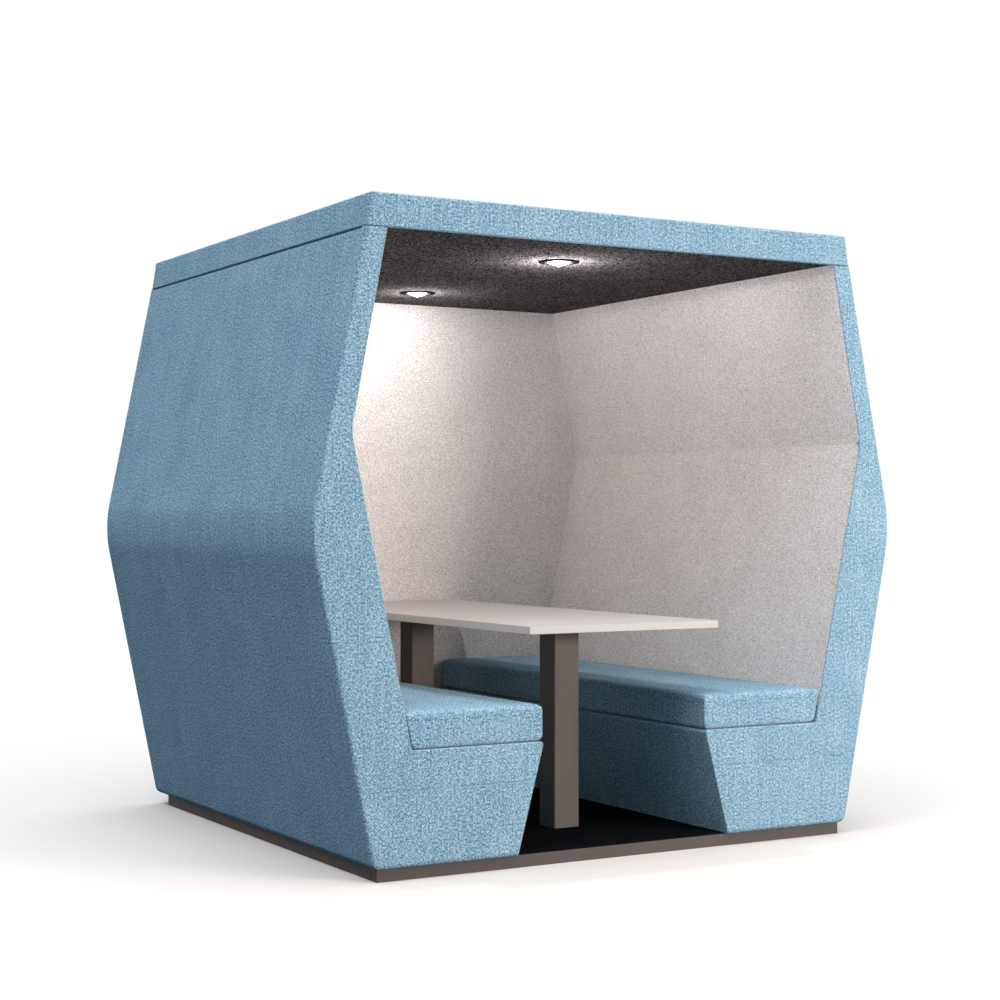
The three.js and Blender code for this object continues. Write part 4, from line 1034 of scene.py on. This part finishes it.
def dress_solids():
    finishes = {
        "plinth": PLINTH_PAINT, "plinth_joist": SOFTWOOD, "table_top": TABLE_BOARD, "table_leg": LEG_PAINT,
        "leg_block": SOFTWOOD, "back_board": PLYWOOD, "floor_deck": PLYWOOD, "levelling": FOOT_PLASTIC,
        "roof_frame": SOFTWOOD, "led_driver": DRIVER_CASE, "lead_to": LEAD_SHEATH,
    }
    endings = {
        "_reflector": REFLECTOR_METAL, "_lamp_body": LAMP_CASTING, "top_rail": SOFTWOOD, "seat_deck": PLYWOOD,
    }
    for node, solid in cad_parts.items():
        if solid.hide_render:
            continue
        found = [m for key, m in finishes.items() if node.startswith(key)]
        found = found[-1:] or [m for key, m in endings.items() if node.endswith(key)]
        if not found:
            found = [SPRING_STEEL if "_clip_" in node else PLYWOOD]
        dress(node, found[0], 0.0 if "lamp" in node or "lead_to" in node else EASED_EDGE)


# Stage

def soft_box(name, place, aim, size, power, colour):
    light = bpy.data.lights.new(name, "AREA")
    light.shape = "RECTANGLE"
    light.size, light.size_y = size
    light.energy = power
    light.color = colour
    holder = bpy.data.objects.new(name, light)
    holder.location = place
    holder.rotation_euler = (aim - place).to_track_quat("-Z", "Y").to_euler()
    holder.visible_camera = False
    bpy.context.scene.collection.objects.link(holder)


def seen_straight(tree):
    """A mask of the rays that show a surface to the eye, straight or through gloss and glass."""
    light_path = build(tree, "ShaderNodeLightPath").outputs
    seen = calc(tree, "MAXIMUM", light_path["Is Camera Ray"], light_path["Is Glossy Ray"])
    return calc(tree, "MAXIMUM", seen, light_path["Is Transmission Ray"])


def stage():
    scene = bpy.context.scene
    scene.view_settings.view_transform = "Standard"
    floor_material, tree, shader = new_material("Pale floor")
    seen = seen_straight(tree)
    away = build(tree, "ShaderNodeVectorMath", {0: place_of(tree)}, operation="LENGTH").outputs["Value"]
    # Painted shadow: the floor's own colour is darker near the pod and lightens to the far colour with
    # distance.
    near, far = FLOOR_SHADOW_FADE
    spread = build(tree, "ShaderNodeMapRange", {"Value": away, 1: near, 2: far}).outputs[0]
    pale_with_painted_shadow = mix_colour(tree, spread, FLOOR_PAINTED_SHADOW, FLOOR_FAR)
    tree.links.new(mix_colour(tree, seen, FLOOR_BOUNCE, pale_with_painted_shadow), shader.inputs["Base Color"])
    set_plain(shader, Roughness=1.0, Specular_IOR_Level=0.0)
    bm = bmesh.new()
    bmesh.ops.create_grid(bm, x_segments=1, y_segments=1, size=FLOOR_REACH)
    floor = mesh_object("floor", bm)
    floor.data.materials.append(floor_material)
    world = bpy.data.worlds.new("Studio")
    scene.world = world
    world.use_nodes = True
    tree = world.node_tree
    background = tree.nodes["Background"]
    seen = seen_straight(tree)
    direction = build(tree, "ShaderNodeTexCoord").outputs["Generated"]
    rise = build(tree, "ShaderNodeSeparateXYZ", {0: direction}).outputs[2]
    rise = calc(tree, "POWER", calc(tree, "MAXIMUM", rise, 0.0), SKY_RISE)
    sky = mix_colour(tree, rise, SKY_LOW, SKY_HIGH)
    tree.links.new(mix_colour(tree, seen, sky, WHITE), background.inputs["Color"])
    soft_box("Key", KEY_PLACE, KEY_AIM, KEY_SIZE, KEY_POWER, KEY_COLOUR)
    soft_box("Fill", FILL_PLACE, FILL_AIM, FILL_SIZE, FILL_POWER, FILL_COLOUR)


def camera():
    view = bpy.data.cameras.new("Camera")
    view.lens = CAMERA_LENS
    view.sensor_width = CAMERA_SENSOR
    holder = bpy.data.objects.new("Camera", view)
    holder.location = CAMERA_PLACE
    holder.rotation_euler = (CAMERA_TILT, 0.0, CAMERA_TURN)
    bpy.context.scene.collection.objects.link(holder)
    bpy.context.scene.camera = holder


camera()
for side_name, side_sign in (("left", -1), ("right", 1)):
    side_sleeve(side_name, side_sign)
    inner_lining(side_name, side_sign)
    bench_face(side_name, side_sign)
    seat_cushion(side_name, side_sign)
back_cover()
roof_cover()
felt_board("back_lining", LINING_FELT)
felt_board("ceiling_lining", CEILING_FELT)
carpet()
downlight("front", -1)
downlight("rear", 1)
dress_solids()
stage()
